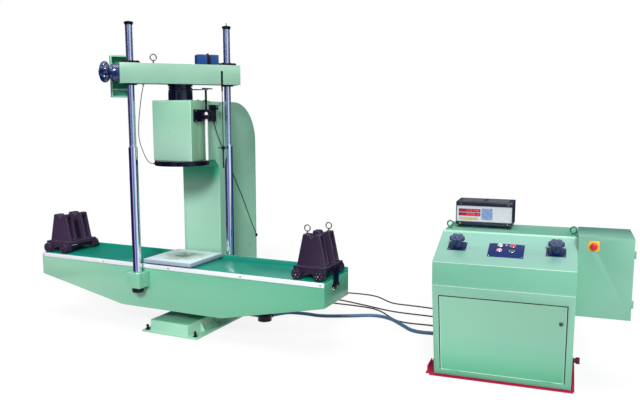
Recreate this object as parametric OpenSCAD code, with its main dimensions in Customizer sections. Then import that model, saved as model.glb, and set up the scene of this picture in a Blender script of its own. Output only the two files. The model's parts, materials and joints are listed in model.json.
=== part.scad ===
// Spring testing machine: a C-frame press whose hydraulic ram lifts a diagonal
// crosshead, two columns hung from it, and a long bed with two rolling supports.
// A separate control console stands beside it, joined by hoses on the floor.
// The origin is on the floor under the load axis, +X along the bed, +Y to the rear.

/* [Base] */
// Width of the base plate
base_w = 490; // [470:10:540]
// Thickness of the base plate
base_t = 14; // [10:1:20]
// Height of the box beam on the base plate
base_box_h = 86; // [60:2:120]
// How far the base plate reaches in front of the load axis
base_front = 224; // [210:2:260]
// How far the base plate reaches behind the C-frame
base_tail = 34; // [30:2:60]

/* [C-frame] */
// Width of the C-frame and of its head
frame_w = 340; // [320:4:344]
// Height of the head's top above the floor
head_top = 1716; // [1700:2:1730]
// Height of the head's underside above the floor
head_bottom = 1284; // [1240:2:1320]
// From the load axis to the head's front face
head_front = 117; // [117:1:130]
// From the load axis to the front of the frame's column
throat = 240; // [236:2:250]
// From the load axis to the back of the frame
frame_back = 788; // [740:4:840]
// Radius of the frame's rear top corner
frame_corner_r = 320; // [240:10:360]
// Chamfer between the arm and the column
throat_chamfer = 62; // [40:2:80]
// Thickness of the frame's side plates
side_t = 20; // [12:1:24]

/* [Hydraulics] */
// Outer diameter of the cylinder barrel
barrel_d = 176; // [174:2:190]
// Diameter of the ram
ram_d = 150; // [130:2:152]
// Height of the barrel's mouth above the head
barrel_up = 68; // [60:2:80]
// Height of the ribbed flange on the ram
flange_h = 54; // [40:2:60]

/* [Crosshead] */
// From the load axis to each column, across the machine
column_x = 242; // [240:1:250]
// From the load axis to each column, front to back
column_y = 256; // [252:1:270]
// Width of the crosshead beam
beam_w = 170; // [150:2:176]
// Height of the crosshead beam
beam_h = 142; // [120:2:160]
// How far the beam reaches past each column
beam_over = 80; // [76:2:100]
// Thickness of the beam's plates
beam_t = 14; // [10:1:18]

/* [Columns] */
// Diameter of the plain part of a column
column_d = 64; // [56:2:68]
// Diameter of the threaded part of a column
thread_d = 52; // [44:2:52]
// Diameter of the shank below the shoulder
shank_d = 44; // [36:2:44]
// Height where the thread starts
thread_from = 1388; // [1340:4:1420]
// Height of the columns' tops, with their caps
column_top = 2275; // [2240:5:2320]

/* [Bed] */
// Length of the bed
bed_len = 2500; // [2400:20:2600]
// Height of the deck above the floor
deck_z = 520; // [515:1:530]
// From the load axis to the bed's front face
bed_front = 200; // [196:2:204]
// From the load axis to the bed's rear face
bed_back = 212; // [206:1:214]
// Depth of the bed's ends
bed_end_h = 173; // [150:1:190]
// Depth of the bed's middle
bed_mid_h = 338; // [320:1:350]
// Half the length of the flat bottom
bed_flat = 445; // [400:5:480]
// Thickness of the bed's plates
bed_t = 8; // [6:1:10]
// How far the rear plate stands above the deck
rail_up = 28; // [20:1:32]
// Width of the square platen
platen_w = 416; // [400:2:420]

/* [Trolleys] */
// Wheel diameter
wheel_d = 74; // [70:1:76]
// Wheel width
wheel_w = 26; // [20:1:28]
// From one axle to the other
wheelbase = 164; // [156:2:170]
// Length of a trolley's body
trolley_len = 236; // [220:2:240]
// Height of the towers above the trolley's top
tower_h = 214; // [190:2:220]
// From the load axis to the right trolley
trolley_right_x = 1115; // [1000:5:1115]
// From the load axis to the left trolley
trolley_left_x = 1128; // [1000:4:1128]

/* [Console] */
// Width of the console
console_w = 805; // [780:5:840]
// Height of the console's top
console_h = 884; // [860:4:900]
// Depth of the console at the floor
console_d = 620; // [600:5:660]
// How far the nose stands in front of the foot
nose_out = 148; // [120:2:160]
// Height of the nose
nose_z = 755; // [740:1:770]
// Height of the crease under the nose
crease_z = 612; // [600:1:630]
// How far back from the foot the sloping panel ends
ridge_y = 200; // [180:2:220]
// Thickness of the console's sheet
sheet_t = 4; // [3:0.5:5]
// Width of the cabinet on the console's side
cabinet_w = 300; // [260:10:340]
// Depth of that cabinet
cabinet_d = 380; // [240:10:420]

/* [Hidden] */
$fn = 64;

// Clearance between round parts that move on each other
slack = 0.3;
// Clearance between flat faces that move on each other
face_gap = 0.3;
door_gap = 1.5;
hinge_pin_r = 2.5;
hinge_r = 5;
hinge_h = 22;
door_pin_r = 1.2;
door_hinge_r = 3;
door_hinge_w = 60;

mint = [0.55, 0.78, 0.68];
dark_mint = [0.10, 0.50, 0.42];
steel = [0.78, 0.80, 0.82];
black = [0.07, 0.07, 0.09];

// ---- Levels and places worked out from the sizes above ----
base_top = base_t + base_box_h;
plate_back = frame_back + base_tail;
arm_y = 75;                       // joint between the head casing and the C-frame
head_wall = 10;
head_floor = 30;
lid_t = 5;                        // the cylinder's mounting flange on the head
barrel_mouth = head_top + barrel_up;
beam_z = barrel_mouth + flange_h;
beam_top = beam_z + beam_h;
diagonal = atan2(column_y, column_x);
column_s = norm([column_x, column_y]);
foot_nut_r = column_y - bed_back - 1;
beam_half = column_s + beam_over;
nut_flange_r = 69;
nut_barrel_r = 42;
gear_z = beam_z + 75;             // height of the gear housing's and knob's axis
platen_z = deck_z + 42;
upper_platen_h = 36;
upper_platen_r = 200;
upper_platen_back = 176;          // flat at its rear, clear of the throat's chamfer
deck_t = 16;
bracket_w = 120;
bracket_out = 111;                // bracket depth from the bed's face
bracket_z = 353;
bracket_h = 113;
shoulder_z = bracket_z + bracket_h;
axle_z = deck_z + wheel_d / 2 + face_gap;
axle_r = 12;
trolley_z = deck_z + 15;          // underside of a trolley's side beams
trolley_top = deck_z + 86;
trolley_half = 152;
wheel_y = 158;                    // inner face of a wheel
tower_y = 45;                     // inner face of a tower
tower_d = 70;
trolley_arch_r = 60;              // arch under a trolley, between its wheels
tower_top = trolley_top + tower_h;
notch_w = 54;
notch_h = 30;

// The console stands turned a little towards the machine.
console_at = [1985, -154, 0];
console_turn = 4.5;
foot_z = 14;                      // underside of the console, on its skid
front_tilt = atan((nose_out - 8) / (crease_z - foot_z));
front_len = norm([nose_out - 8, crease_z - foot_z]);
panel_tilt = atan((console_h - nose_z) / (ridge_y + nose_out));
panel_len = norm([console_h - nose_z, ridge_y + nose_out]);
door_x = [41, 764];
door_up = [36, 545];              // along the sloping front
valve_x = [118, 687];
valve_up = 195;                   // along the sloping panel
plate_mid = [407, 176];
button_x = [369, 441];
button_up = [168, 226];
indicator_at = [50, 380];
indicator_size = [360, 220, 150];
indicator_band = [20, 26];         // below and above the white face
indicator_foot = 21;
cabinet_y = 60;
cabinet_z = [448, 920];
estop_x = 85;                     // from the cabinet's left side
estop_z = 868;
hinge_at = [console_w + cabinet_w + 6, cabinet_y + 18];

// Centrelines of the free hoses and cables, from face to face.
blue_path = [
    [480, 480, 24], [505, 560, 18], [560, 635, 15], [680, 660, 15], [840, 665, 15],
    [1030, 750, 15], [1210, 845, 15], [1360, 820, 15], [1500, 700, 15], [1620, 600, 15],
    [1760, 600, 15], [1900, 640, 18], [2010, 655, 40], [2075, 600, 58], [2084, 506, 60]
];
hose_paths = [
    [
        [-70, 800, 60], [-60, 900, 16], [60, 1150, 6], [380, 1390, 6], [721, 1445, 6],
        [996, 1448, 6], [1219, 1294, 6], [1400, 1280, 6], [1570, 1272, 6], [1900, 1230, 6],
        [2150, 1080, 8], [2285, 780, 36], [2303, 523, 60]
    ],
    [
        [0, 800, 60], [10, 900, 16], [150, 1080, 6], [430, 1190, 6], [720, 1200, 6],
        [1020, 1130, 6], [1320, 1047, 6], [1634, 1045, 6], [1900, 1020, 6],
        [2110, 900, 8], [2215, 710, 36], [2233, 518, 60]
    ],
    [
        [70, 800, 60], [90, 880, 16], [250, 1010, 6], [480, 1070, 6], [733, 1076, 6],
        [1143, 1053, 6], [1433, 813, 6], [1700, 810, 6], [1900, 800, 6],
        [2060, 750, 8], [2150, 650, 36], [2163, 512, 60]
    ]
];
head_cable_path = [
    [-178, -196, 1826], [-192, -208, 1737], [-217, -212, 1563], [-219, -212, 1445],
    [-191, -210, 1357], [-163, -207, 1302], [-142, -196, 1272], [-124, -174, 1266]
];
frame_cable_path = [
    [175, 172, 1557], [175, 205, 1480], [175, 262, 1390], [175, 346, 1275],
    [175, 433, 1141], [175, 567, 947], [175, 707, 718], [175, 778, 620]
];
coupling_at = [455, 410];
console_in = [sin(console_turn), -cos(console_turn), 0];
blue_r = 14;
hose_r = 6;
cable_r = 3;

// ---- Helpers ----
module on_diagonal() {
    rotate([0, 0, diagonal]) children();
}

module at_column(side) {
    translate([side * column_x, side * column_y, 0]) children();
}

module at_console() {
    translate(console_at) rotate([0, 0, console_turn]) children();
}

// On the console's sloping front: x across, y inwards, z up the slope.
module on_front() {
    at_console() translate([0, 0, foot_z]) rotate([front_tilt, 0, 0]) children();
}

// On the console's sloping panel: x across, y up the slope, z out of the panel.
module on_panel() {
    at_console() translate([0, -nose_out, nose_z]) rotate([panel_tilt, 0, 0]) children();
}

// A box from its low corner to its high corner.
module span(low, high) {
    translate(low) cube(high - low);
}

// A profile drawn in Y and Z, extruded along X between two places.
module side_profile(points, x0, x1) {
    translate([x0, 0, 0]) rotate([90, 0, 90]) linear_extrude(x1 - x0) polygon(points);
}

// A profile drawn in X and Z, extruded along Y between two places.
module front_profile(points, y0, y1) {
    translate([0, y1, 0]) rotate([90, 0, 0]) linear_extrude(y1 - y0) polygon(points);
}

module hex_head(r, h) {
    cylinder(r = r, h = h, $fn = 6);
}

// A lifting eye standing on z = 0.
module eyebolt(ring_r, rod_r, neck = 0) {
    cylinder(r = ring_r * 0.62, h = rod_r * 1.2);
    cylinder(r = rod_r * 1.15, h = neck + rod_r * 2.4 + 1);
    translate([0, 0, neck + ring_r + rod_r * 2.4]) rotate([90, 0, 0]) rotate_extrude($fn = 48)
        translate([ring_r, 0]) circle(r = rod_r, $fn = 24);
}

// Points of a smooth curve through a path, so many steps to each stretch.
function spline(p, steps) = [
    for (i = [0 : len(p) - 2], k = [0 : steps - 1])
        let (
            t = k / steps,
            a = i == 0 ? 2 * p[0] - p[1] : p[i - 1],
            d = i == len(p) - 2 ? 2 * p[i + 1] - p[i] : p[i + 2]
        )
        0.5 * (2 * p[i] + t * (p[i + 1] - a) + t * t * (2 * a - 5 * p[i] + 4 * p[i + 1] - d)
            + t * t * t * (3 * p[i] - a - 3 * p[i + 1] + d)),
    p[len(p) - 1]
];

function unit(v) = v / norm(v);

// The direction of a curve at its i-th point.
function heading(c, i) = unit(c[min(i + 1, len(c) - 1)] - c[max(i - 1, 0)]);

// A ring of points round a curve, turned to suit a direction the curve never takes.
function ring(at, along, r, sides, guide) =
    let (side = unit(cross(along, guide)), up = cross(side, along))
    [for (k = [0 : sides - 1]) at + r * (cos(360 * k / sides) * side + sin(360 * k / sides) * up)];

// A tube along a path, as one closed solid, with its end faces square to first and last.
module tube(path, r, first, last, steps = 1, sides = 8, guide = [0, 0, 1]) {
    c = spline(path, steps);
    n = len(c);
    along = [unit(first), for (i = [1 : n - 2]) heading(c, i), unit(last)];
    points = [for (i = [0 : n - 1]) each ring(c[i], along[i], r, sides, guide)];
    walls = [
        for (i = [0 : n - 2], k = [0 : sides - 1])
            [i * sides + k, (i + 1) * sides + k, (i + 1) * sides + (k + 1) % sides,
                i * sides + (k + 1) % sides]
    ];
    caps = [[for (k = [0 : sides - 1]) k], [for (k = [sides - 1 : -1 : 0]) (n - 1) * sides + k]];
    polyhedron(points = points, faces = concat(walls, caps), convexity = 8);
}

// ---- Base and frame ----
module base() {
    half = frame_w / 2 - 2;
    wall = 12;
    color(mint) {
        difference() {
            span([-base_w / 2, -base_front, 0], [base_w / 2, plate_back, base_t]);
            for (x = [-1, 1], y = [-base_front + 29, plate_back - 32])
                translate([x * (base_w / 2 - 30), y, -1]) cylinder(r = 8.3, h = base_t + 2);
            for (x = [-1, 1], y = [60, 700])
                translate([x * (base_w / 2 - 33), y, -1]) cylinder(r = 11, h = base_t + 2);
        }
        difference() {
            span([-half, -base_front + 6, base_t], [half, throat, base_top]);
            span([-half + wall, -base_front + 6 + wall, base_t - 1],
                [half - wall, throat - wall, base_top - wall]);
        }
        for (x = [-1, 1], y = [-56, 110]) scale([x, 1, 1])
            front_profile([[half, base_t], [half + 36, base_t], [half, base_t + 62]], y, y + 12);
    }
}

module levelling_bolts() {
    color(black)
        for (x = [-1, 1], y = [-base_front + 29, plate_back - 32])
            translate([x * (base_w / 2 - 30), y, 0]) {
                cylinder(r = 8, h = 52);
                translate([0, 0, base_t]) hex_head(14, 13);
                translate([0, 0, 36]) hex_head(12, 10);
            }
}

// Outline of the C-frame in Y and Z, drawn in by the given amount.
function frame_outline(inset, floor_z, top) =
    let (r = frame_corner_r - inset, cy = frame_back - frame_corner_r, cz = head_top - frame_corner_r)
    concat(
        [
            [throat + inset, floor_z],
            [throat + inset, head_bottom - throat_chamfer + inset * 0.4],
            [throat - throat_chamfer + inset * 0.4, head_bottom + inset * 1.5],
            [arm_y - (inset > 0 ? 1 : 0), head_bottom + inset * 1.5],
            [arm_y - (inset > 0 ? 1 : 0), top]
        ],
        [for (a = [90 : -6 : 0]) [cy + r * cos(a), cz + r * sin(a)]],
        [[frame_back - inset, floor_z]]
    );

module c_frame() {
    half = frame_w / 2;
    color(mint) {
        difference() {
            side_profile(frame_outline(0, base_t, head_top), -half, half);
            side_profile(frame_outline(side_t, base_t - 1, head_top - side_t),
                -half + side_t, half - side_t);
            span([-half + side_t, arm_y - 1, head_top - side_t - 1],
                [half - side_t, arm_y + 50, head_top + 1]);
            span([-half + side_t, throat - 1, base_top],
                [half - side_t, throat + 5, head_bottom - throat_chamfer]);
        }
        for (x = [-70, 0, 70])
            translate([x, frame_back - 1, 60]) rotate([-90, 0, 0]) cylinder(r = 11, h = 13);
        span([half, 768, 598], [half + 11, frame_back, 620]);
    }
}

module head_casing() {
    half = frame_w / 2;
    color(mint) difference() {
        span([-half, -head_front, head_bottom], [half, arm_y, head_top]);
        span([-half + 12, -head_front + head_wall, head_bottom + head_floor],
            [half - 12, arm_y + 1, head_top + 1]);
    }
}

module cylinder_flange() {
    span([-frame_w / 2, -head_front, head_top], [frame_w / 2, 125, head_top + lid_t]);
}

module hydraulic_cylinder() {
    low = head_bottom + head_floor;
    color(black) difference() {
        union() {
            translate([0, 0, low]) cylinder(r = barrel_d / 2, h = barrel_mouth - low);
            cylinder_flange();
        }
        translate([0, 0, low + 40]) cylinder(r = ram_d / 2, h = barrel_mouth - low);
    }
}

module upper_platen() {
    out = unit([head_cable_path[7][0], head_cable_path[7][1]]);
    color(black) difference() {
        union() {
            translate([0, 0, head_bottom - upper_platen_h])
                cylinder(r = upper_platen_r, h = upper_platen_h, $fn = 96);
            translate(head_cable_path[7]) rotate([0, -90, atan2(out[1], out[0])])
                cylinder(r = 7, h = 20, $fn = 24);
        }
        translate([0, 0, head_bottom - upper_platen_h - 1]) cylinder(r = 10, h = 31);
        span([-upper_platen_r, upper_platen_back, head_bottom - upper_platen_h - 1],
            [upper_platen_r, upper_platen_r + 1, head_bottom + 1]);
    }
}

// ---- Gauges on the head's right side ----
gauge_x = frame_w / 2;
tube_at = [gauge_x + 30, 32];
lever_at = [gauge_x + 43, 150, 1676];

module switch_block() {
    color(black) {
        difference() {
            union() {
                span([gauge_x, -88, 1569], [gauge_x + 19, 179, 1655]);
                span([gauge_x + 18, 12, 1588], [gauge_x + 46, 52, 1616]);
            }
            translate([tube_at[0], tube_at[1], 1560]) cylinder(r = 11.2, h = 100);
            translate([tube_at[0], tube_at[1], 1616]) cylinder(r = 13 + slack, h = 40);
        }
        span([gauge_x + 2, 108, 1655], [gauge_x + 40, 179, 1690]);
        translate([gauge_x + 5, 172, 1557]) cylinder(r = 5, h = 13, $fn = 24);
        translate([gauge_x + 20, 150, 1676]) rotate([0, 90, 0]) cylinder(r = 4, h = 26, $fn = 24);
    }
}

module stroke_tube() {
    color("white") translate([tube_at[0], tube_at[1], 0]) difference() {
        union() {
            translate([0, 0, 1286]) cylinder(r = 11, h = 350);
            translate([0, 0, 1616]) cylinder(r = 13, h = 6);
        }
        translate([0, 0, 1296]) cylinder(r = 8 + slack, h = 400);
    }
}

module limit_lever() {
    color(steel) translate(lever_at) difference() {
        union() {
            rotate([0, 90, 0]) cylinder(r = 8, h = 5);
            rotate([-60, 0, 0]) translate([0, -5, 0]) cube([5, 10, 46]);
            rotate([-60, 0, 0]) translate([0, 0, 46]) rotate([0, 90, 0]) cylinder(r = 9, h = 12);
        }
        translate([-1, 0, 0]) rotate([0, 90, 0]) cylinder(r = 4.1, h = 8);
    }
}

// ---- Ram and crosshead ----
module ram() {
    r = barrel_d / 2;
    top = beam_z;
    color(black) {
        translate([0, 0, head_bottom + 100])
            cylinder(r = ram_d / 2 - 0.1, h = barrel_mouth - head_bottom - 90);
        translate([0, 0, barrel_mouth]) rotate_extrude($fn = 96) polygon([
            [0, 0], [r - 4, 0], [r, 6], [r, 12], [r - 9, 16], [r - 9, 20], [r, 24], [r, 30],
            [r - 9, 34], [r - 9, 38], [r + 2, 42], [r + 2, top - barrel_mouth], [0, top - barrel_mouth]
        ]);
    }
}

module crosshead() {
    half = beam_w / 2;
    color(mint) on_diagonal() difference() {
        union() {
            difference() {
                span([-beam_half, -half, beam_z], [beam_half, half, beam_top]);
                span([-beam_half + beam_t, -half + beam_t, beam_z + beam_t],
                    [beam_half - beam_t, half - beam_t, beam_top - beam_t]);
            }
            for (s = [-column_s, column_s])
                translate([s, 0, beam_z + 1]) cylinder(r = nut_barrel_r + 12, h = beam_h - 2);
        }
        for (s = [-column_s, column_s])
            translate([s, 0, beam_z - 1]) cylinder(r = nut_barrel_r + slack, h = beam_h + 2);
        translate([-beam_half - 1, 0, gear_z]) rotate([0, 90, 0]) cylinder(r = 15.1, h = beam_t + 2);
    }
    out = head_cable_path[0];
    color(black) translate([out[0], out[1], out[2]]) cylinder(r = 8, h = beam_z - out[2] + 1, $fn = 24);
}

module column_nut(side) {
    color(black) at_column(side) difference() {
        union() {
            translate([0, 0, beam_z - 10]) cylinder(r = 46, h = 10 - face_gap);
            translate([0, 0, beam_z - 1]) cylinder(r = nut_barrel_r, h = beam_h + 4);
            translate([0, 0, beam_top + face_gap]) cylinder(r = nut_flange_r, h = 16);
        }
        translate([0, 0, beam_z - 20]) cylinder(r = thread_d / 2 + slack, h = beam_h + 50);
    }
}

module crosshead_eyebolt() {
    color(steel) on_diagonal() translate([-188, 0, beam_top]) eyebolt(24, 5, 11);
}

module drive_motor() {
    color([0.10, 0.24, 0.48]) on_diagonal() translate([120, -50, beam_top]) difference() {
        union() {
            cube([160, 100, 75]);
            translate([88, 50, 74]) cylinder(r = 9, h = 12);
        }
        translate([76, -1, 3]) cube([24, 4, 80]);
        translate([76, 97, 3]) cube([24, 4, 80]);
    }
}

module gear_housing() {
    low = beam_z - 95;
    high = beam_top + 62;
    half = beam_w / 2;
    color(dark_mint) on_diagonal() difference() {
        span([-beam_half - 46, half, low], [-column_s + 10, half + 66, high]);
        span([-beam_half - 34, half - 1, low + 62], [-column_s - 2, half + 48, high - 14]);
        span([-beam_half - 34, half - 1, low + 12], [-column_s - 2, half + 30, low + 50]);
    }
}

// A hand knob with lobes, its spindle along +Z from z = 0.
module star_knob(r, h, lobes) {
    for (k = [0 : lobes - 1]) rotate([0, 0, 360 * k / lobes])
        translate([r * 0.72, 0, 0]) cylinder(r = r * 0.28, h = h, $fn = 32);
    translate([0, 0, -1]) cylinder(r = r * 0.74, h = h + 2);
}

module clamp_knob() {
    color(black) on_diagonal() translate([-beam_half - face_gap, 0, gear_z]) rotate([0, -90, 0]) {
        cylinder(r = 62.5, h = 46);
        translate([0, 0, 45]) cylinder(r = 46, h = 20);
        translate([0, 0, 62]) star_knob(78, 66, 5);
        translate([0, 0, 127]) cylinder(r = 30, h = 7);
        translate([0, 0, -beam_t - 6]) cylinder(r = 15, h = beam_t + 8);
    }
}

module stroke_rod() {
    reach = barrel_d / 2 + 0.1;
    color(black) {
        translate([tube_at[0], tube_at[1], 1306]) cylinder(r = 8, h = 500);
        span([tube_at[0] - 8, -8, 1802], [tube_at[0] + 8, 108, 1810]);
        difference() {
            span([ram_d / 2, tube_at[1] - 14, 1795], [tube_at[0] + 12, tube_at[1] + 14, 1803]);
            translate([0, 0, 1790]) cylinder(r = reach, h = 20, $fn = 96);
        }
    }
}

// The stroke gauge's rod and the limit switch's trip rod, both carried by the crosshead.
module gauge_rods() {
    stroke_rod();
    trip_rod();
}

module trip_rod() {
    color(black) on_diagonal() {
        span([284, -beam_w / 2 - 12, beam_z + 8], [300, -beam_w / 2, beam_top - 48]);
        translate([292, -beam_w / 2 - 12, 0]) {
            translate([0, 0, beam_z - 10]) cylinder(r = 8, h = 108, $fn = 32);
            translate([0, 0, 1790]) cylinder(r = 6, h = 60, $fn = 32);
            translate([0, 0, 1222]) cylinder(r = 3.5, h = 600, $fn = 24);
            translate([0, 0, 1222]) cylinder(r = 6, h = 138, $fn = 24);
            translate([0, 0, 1360]) cylinder(r = 12, h = 26, $fn = 32);
            rotate([0, 0, -diagonal]) translate([-44, 0, 1373]) rotate([0, 90, 0])
                cylinder(r = 3.5, h = 88, $fn = 24);
        }
    }
}

// ---- Columns and bed ----
module columns() {
    color(steel) for (side = [-1, 1]) at_column(side) {
        translate([0, 0, bracket_z - 35]) cylinder(r = shank_d / 2, h = bracket_h + 36);
        translate([0, 0, shoulder_z]) cylinder(r = column_d / 2, h = thread_from - shoulder_z);
        translate([0, 0, thread_from - 1]) cylinder(r = thread_d / 2, h = column_top - 29 - thread_from + 1);
    }
}

module column_ends() {
    color(black) for (side = [-1, 1]) at_column(side) {
        translate([0, 0, bracket_z - 39]) difference() {
            cylinder(r = foot_nut_r, h = 39);
            translate([0, 0, 4]) cylinder(r = shank_d / 2 + 0.2, h = 40);
        }
        translate([0, 0, column_top - 29]) rotate_extrude() polygon([
            [0, 0], [27, 0], [33, 14], [33, 20], [24, 23], [0, 29]
        ]);
        if (side > 0) translate([0, 0, column_top - 5]) cylinder(r = 3, h = 22, $fn = 24);
    }
}

function bed_outline(t, top) = [
    [-bed_len / 2 + t, top], [-bed_len / 2 + t, deck_z - bed_end_h + t],
    [-bed_flat, deck_z - bed_mid_h + t], [bed_flat, deck_z - bed_mid_h + t],
    [bed_len / 2 - t, deck_z - bed_end_h + t], [bed_len / 2 - t, top]
];

// The ear on the bed's face that holds a column's foot.
module column_bracket(side) {
    face = side > 0 ? bed_back : bed_front;
    out = side > 0 ? bed_back + bracket_out - 12 : bed_front + bracket_out;
    scale([side, side, 1]) {
        difference() {
            span([column_x - bracket_w / 2, face, bracket_z],
                [column_x + bracket_w / 2, out, shoulder_z]);
            translate([column_x, column_y, bracket_z - 1])
                cylinder(r = shank_d / 2 + 0.2, h = bracket_h + 2);
        }
        for (x = [column_x - bracket_w / 2 - 6, column_x + bracket_w / 2])
            side_profile([[face, bracket_z - 30], [out - 14, shoulder_z], [face, shoulder_z]],
                x, x + 6);
    }
}

module bed() {
    end = bed_len / 2;
    color(mint) {
        difference() {
            front_profile(bed_outline(0, deck_z + rail_up), -bed_front, bed_back);
            front_profile(bed_outline(bed_t, deck_z + rail_up + 1), -bed_front + bed_t, bed_back - bed_t);
            span([-end - 1, -bed_front - 1, deck_z - deck_t], [end + 1, -bed_front + bed_t + 1, 999]);
            span([-end - 1, -bed_front - 1, deck_z - 8], [-end + bed_t + 1, bed_back - bed_t, 999]);
            span([end - bed_t - 1, -bed_front - 1, deck_z - 8], [end + 1, bed_back - bed_t, 999]);
        }
        intersection() {
            union() for (x = [-900, -450, 0, 450, 900])
                span([x - 4, -bed_front + 1, 0], [x + 4, bed_back - 1, deck_z - deck_t]);
            front_profile(bed_outline(1, deck_z), -bed_front + 1, bed_back - 1);
        }
    }
}

module column_brackets() {
    color(mint) for (side = [-1, 1]) column_bracket(side);
}

module bed_deck() {
    half = bed_len / 2 - bed_t;
    color(dark_mint)
        span([-half, -bed_front, deck_z - deck_t], [half, bed_back - bed_t, deck_z]);
}

module front_scale() {
    color(steel) span([-bed_len / 2, -bed_front - 6, deck_z - 32], [bed_len / 2, -bed_front, deck_z]);
}

module lower_platen() {
    half = platen_w / 2;
    back = bed_back - bed_t - 4;
    color(steel) {
        span([-half, -bed_front - 24, platen_z - 28], [half, back, platen_z]);
        span([-half + 18, -bed_front + 14, deck_z], [half - 18, back - 14, platen_z - 27]);
    }
}

module end_stops() {
    color(black) for (side = [-1, 1]) scale([side, 1, 1]) {
        span([bed_len / 2, -55, 450], [bed_len / 2 + 12, 13, 600]);
        span([bed_len / 2, -72, 450], [bed_len / 2 + 8, 30, 486]);
        for (y = [-64, 22]) translate([bed_len / 2 + 7, y, 468]) rotate([0, 90, 0]) hex_head(7, 7);
    }
}

// ---- Trolleys ----
// One tower of a trolley, with pockets in its sloping sides and a V in its top.
module tower(y0) {
    foot = 108;
    head = 62;
    rib = 14;
    deep = 26;
    color(black) difference() {
        front_profile([
            [-foot, trolley_top - 1], [foot, trolley_top - 1], [head, tower_top],
            [notch_w / 2, tower_top], [0, tower_top - notch_h], [-notch_w / 2, tower_top],
            [-head, tower_top]
        ], y0, y0 + tower_d);
        for (side = [-1, 1]) scale([side, 1, 1]) front_profile([
            [foot - deep, trolley_top + 14], [foot + 20, trolley_top + 14],
            [head + 20, tower_top - 20], [head - deep + 5, tower_top - 20]
        ], y0 + rib, y0 + tower_d - rib);
    }
}

module trolley(x) {
    half = trolley_len / 2;
    color(black) translate([x, 0, 0]) {
        difference() {
            union() {
                span([-half, -trolley_half, trolley_top - 26], [half, trolley_half, trolley_top]);
                for (y = [-trolley_half, trolley_half - 34])
                    span([-half, y, trolley_z], [half, y + 34, trolley_top]);
            }
            for (side = [-1, 1])
                translate([side * wheelbase / 2, -trolley_half - 1, axle_z]) rotate([-90, 0, 0])
                    cylinder(r = axle_r + slack, h = 2 * trolley_half + 2);
            translate([0, -trolley_half - 1, axle_z + 5 - trolley_arch_r]) rotate([-90, 0, 0])
                cylinder(r = trolley_arch_r, h = 2 * trolley_half + 2, $fn = 96);
        }
        tower(-tower_y - tower_d);
        tower(tower_y);
    }
}

module wheelset(x) {
    color(black) translate([x, 0, axle_z]) {
        translate([0, -wheel_y - wheel_w - 6, 0]) rotate([-90, 0, 0])
            cylinder(r = axle_r, h = 2 * (wheel_y + wheel_w + 6));
        for (side = [-1, 1]) scale([1, side, 1]) translate([0, wheel_y, 0]) rotate([-90, 0, 0])
            rotate_extrude() polygon([
                [0, 0], [wheel_d / 2, 0], [wheel_d / 2, wheel_w - 2], [wheel_d / 2 - 2, wheel_w],
                [wheel_d / 2 - 9, wheel_w], [wheel_d / 2 - 11, wheel_w - 5], [20, wheel_w - 5],
                [18, wheel_w], [0, wheel_w]
            ]);
    }
}

module trolley_eyebolts() {
    middle = tower_y + tower_d / 2;
    color(steel) {
        translate([trolley_right_x - 45, -middle, tower_top]) eyebolt(21, 4, 8);
        translate([trolley_right_x + 42, middle, tower_top]) eyebolt(21, 4, 8);
    }
}

// ---- Console ----
console_outline = [
    [0, foot_z], [8 - nose_out, crease_z], [-nose_out, nose_z], [ridge_y, console_h],
    [console_d, console_h], [console_d, foot_z]
];
console_hollow = [
    [sheet_t * 1.03, foot_z + sheet_t], [8 - nose_out + sheet_t, crease_z],
    [-nose_out + sheet_t, nose_z - sheet_t * 0.6], [ridge_y, console_h - sheet_t * 1.07],
    [console_d - sheet_t, console_h - sheet_t], [console_d - sheet_t, foot_z + sheet_t]
];

module console_cabinet() {
    frame_in = 14;
    color(mint) {
        difference() {
            at_console() union() {
                side_profile(console_outline, 0, console_w);
                span([0, ridge_y, console_h - 1], [console_w, ridge_y + 10, console_h + 7]);
            }
            at_console() side_profile(console_hollow, sheet_t, console_w - sheet_t);
            on_front() span([door_x[0], -5, door_up[0]], [door_x[1], 2 * sheet_t, door_up[1]]);
            on_front() at_door_hinges() barrel(1, 2, door_hinge_r + slack);
            on_panel() for (x = valve_x) translate([x, valve_up, -20]) cylinder(r = 12, h = 30);
            on_panel() for (x = button_x, y = button_up) translate([x, y, -20])
                cylinder(r = 8.5, h = 30);
            at_console() translate([console_w - 10, 300, 95]) rotate([0, 90, 0])
                cylinder(r = 16, h = 20);
        }
        on_front() difference() {
            span([door_x[0] - frame_in, 0.6, door_up[0] - frame_in],
                [door_x[1] + frame_in, sheet_t + 6, door_up[1] + frame_in]);
            span([door_x[0], -1, door_up[0]], [door_x[1], 30, door_up[1]]);
            at_door_hinges() barrel(1, 2, door_hinge_r + slack);
        }
        on_front() at_door_hinges() difference() {
            union() {
                barrel(0, 1, door_hinge_r);
                barrel(2, 3, door_hinge_r);
            }
            barrel(-1, 4, door_pin_r + slack);
        }
    }
    color(black) for (path = concat([blue_path], hose_paths))
        translate(path[len(path) - 1]) rotate([90, 0, console_turn])
            cylinder(r = path == blue_path ? 22 : 12, h = 33, $fn = 32);
}

// The two hinges along the door's lower edge, each in three equal lengths.
module at_door_hinges() {
    for (x = [door_x[0] + 60, door_x[1] - 60 - door_hinge_w])
        translate([x, -2, door_up[0]]) rotate([0, 90, 0]) children();
}

module barrel(first, last, r, over = 0) {
    translate([0, 0, first * door_hinge_w / 3 - over])
        cylinder(r = r, h = (last - first) * door_hinge_w / 3 + 2 * over, $fn = 32);
}

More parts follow.
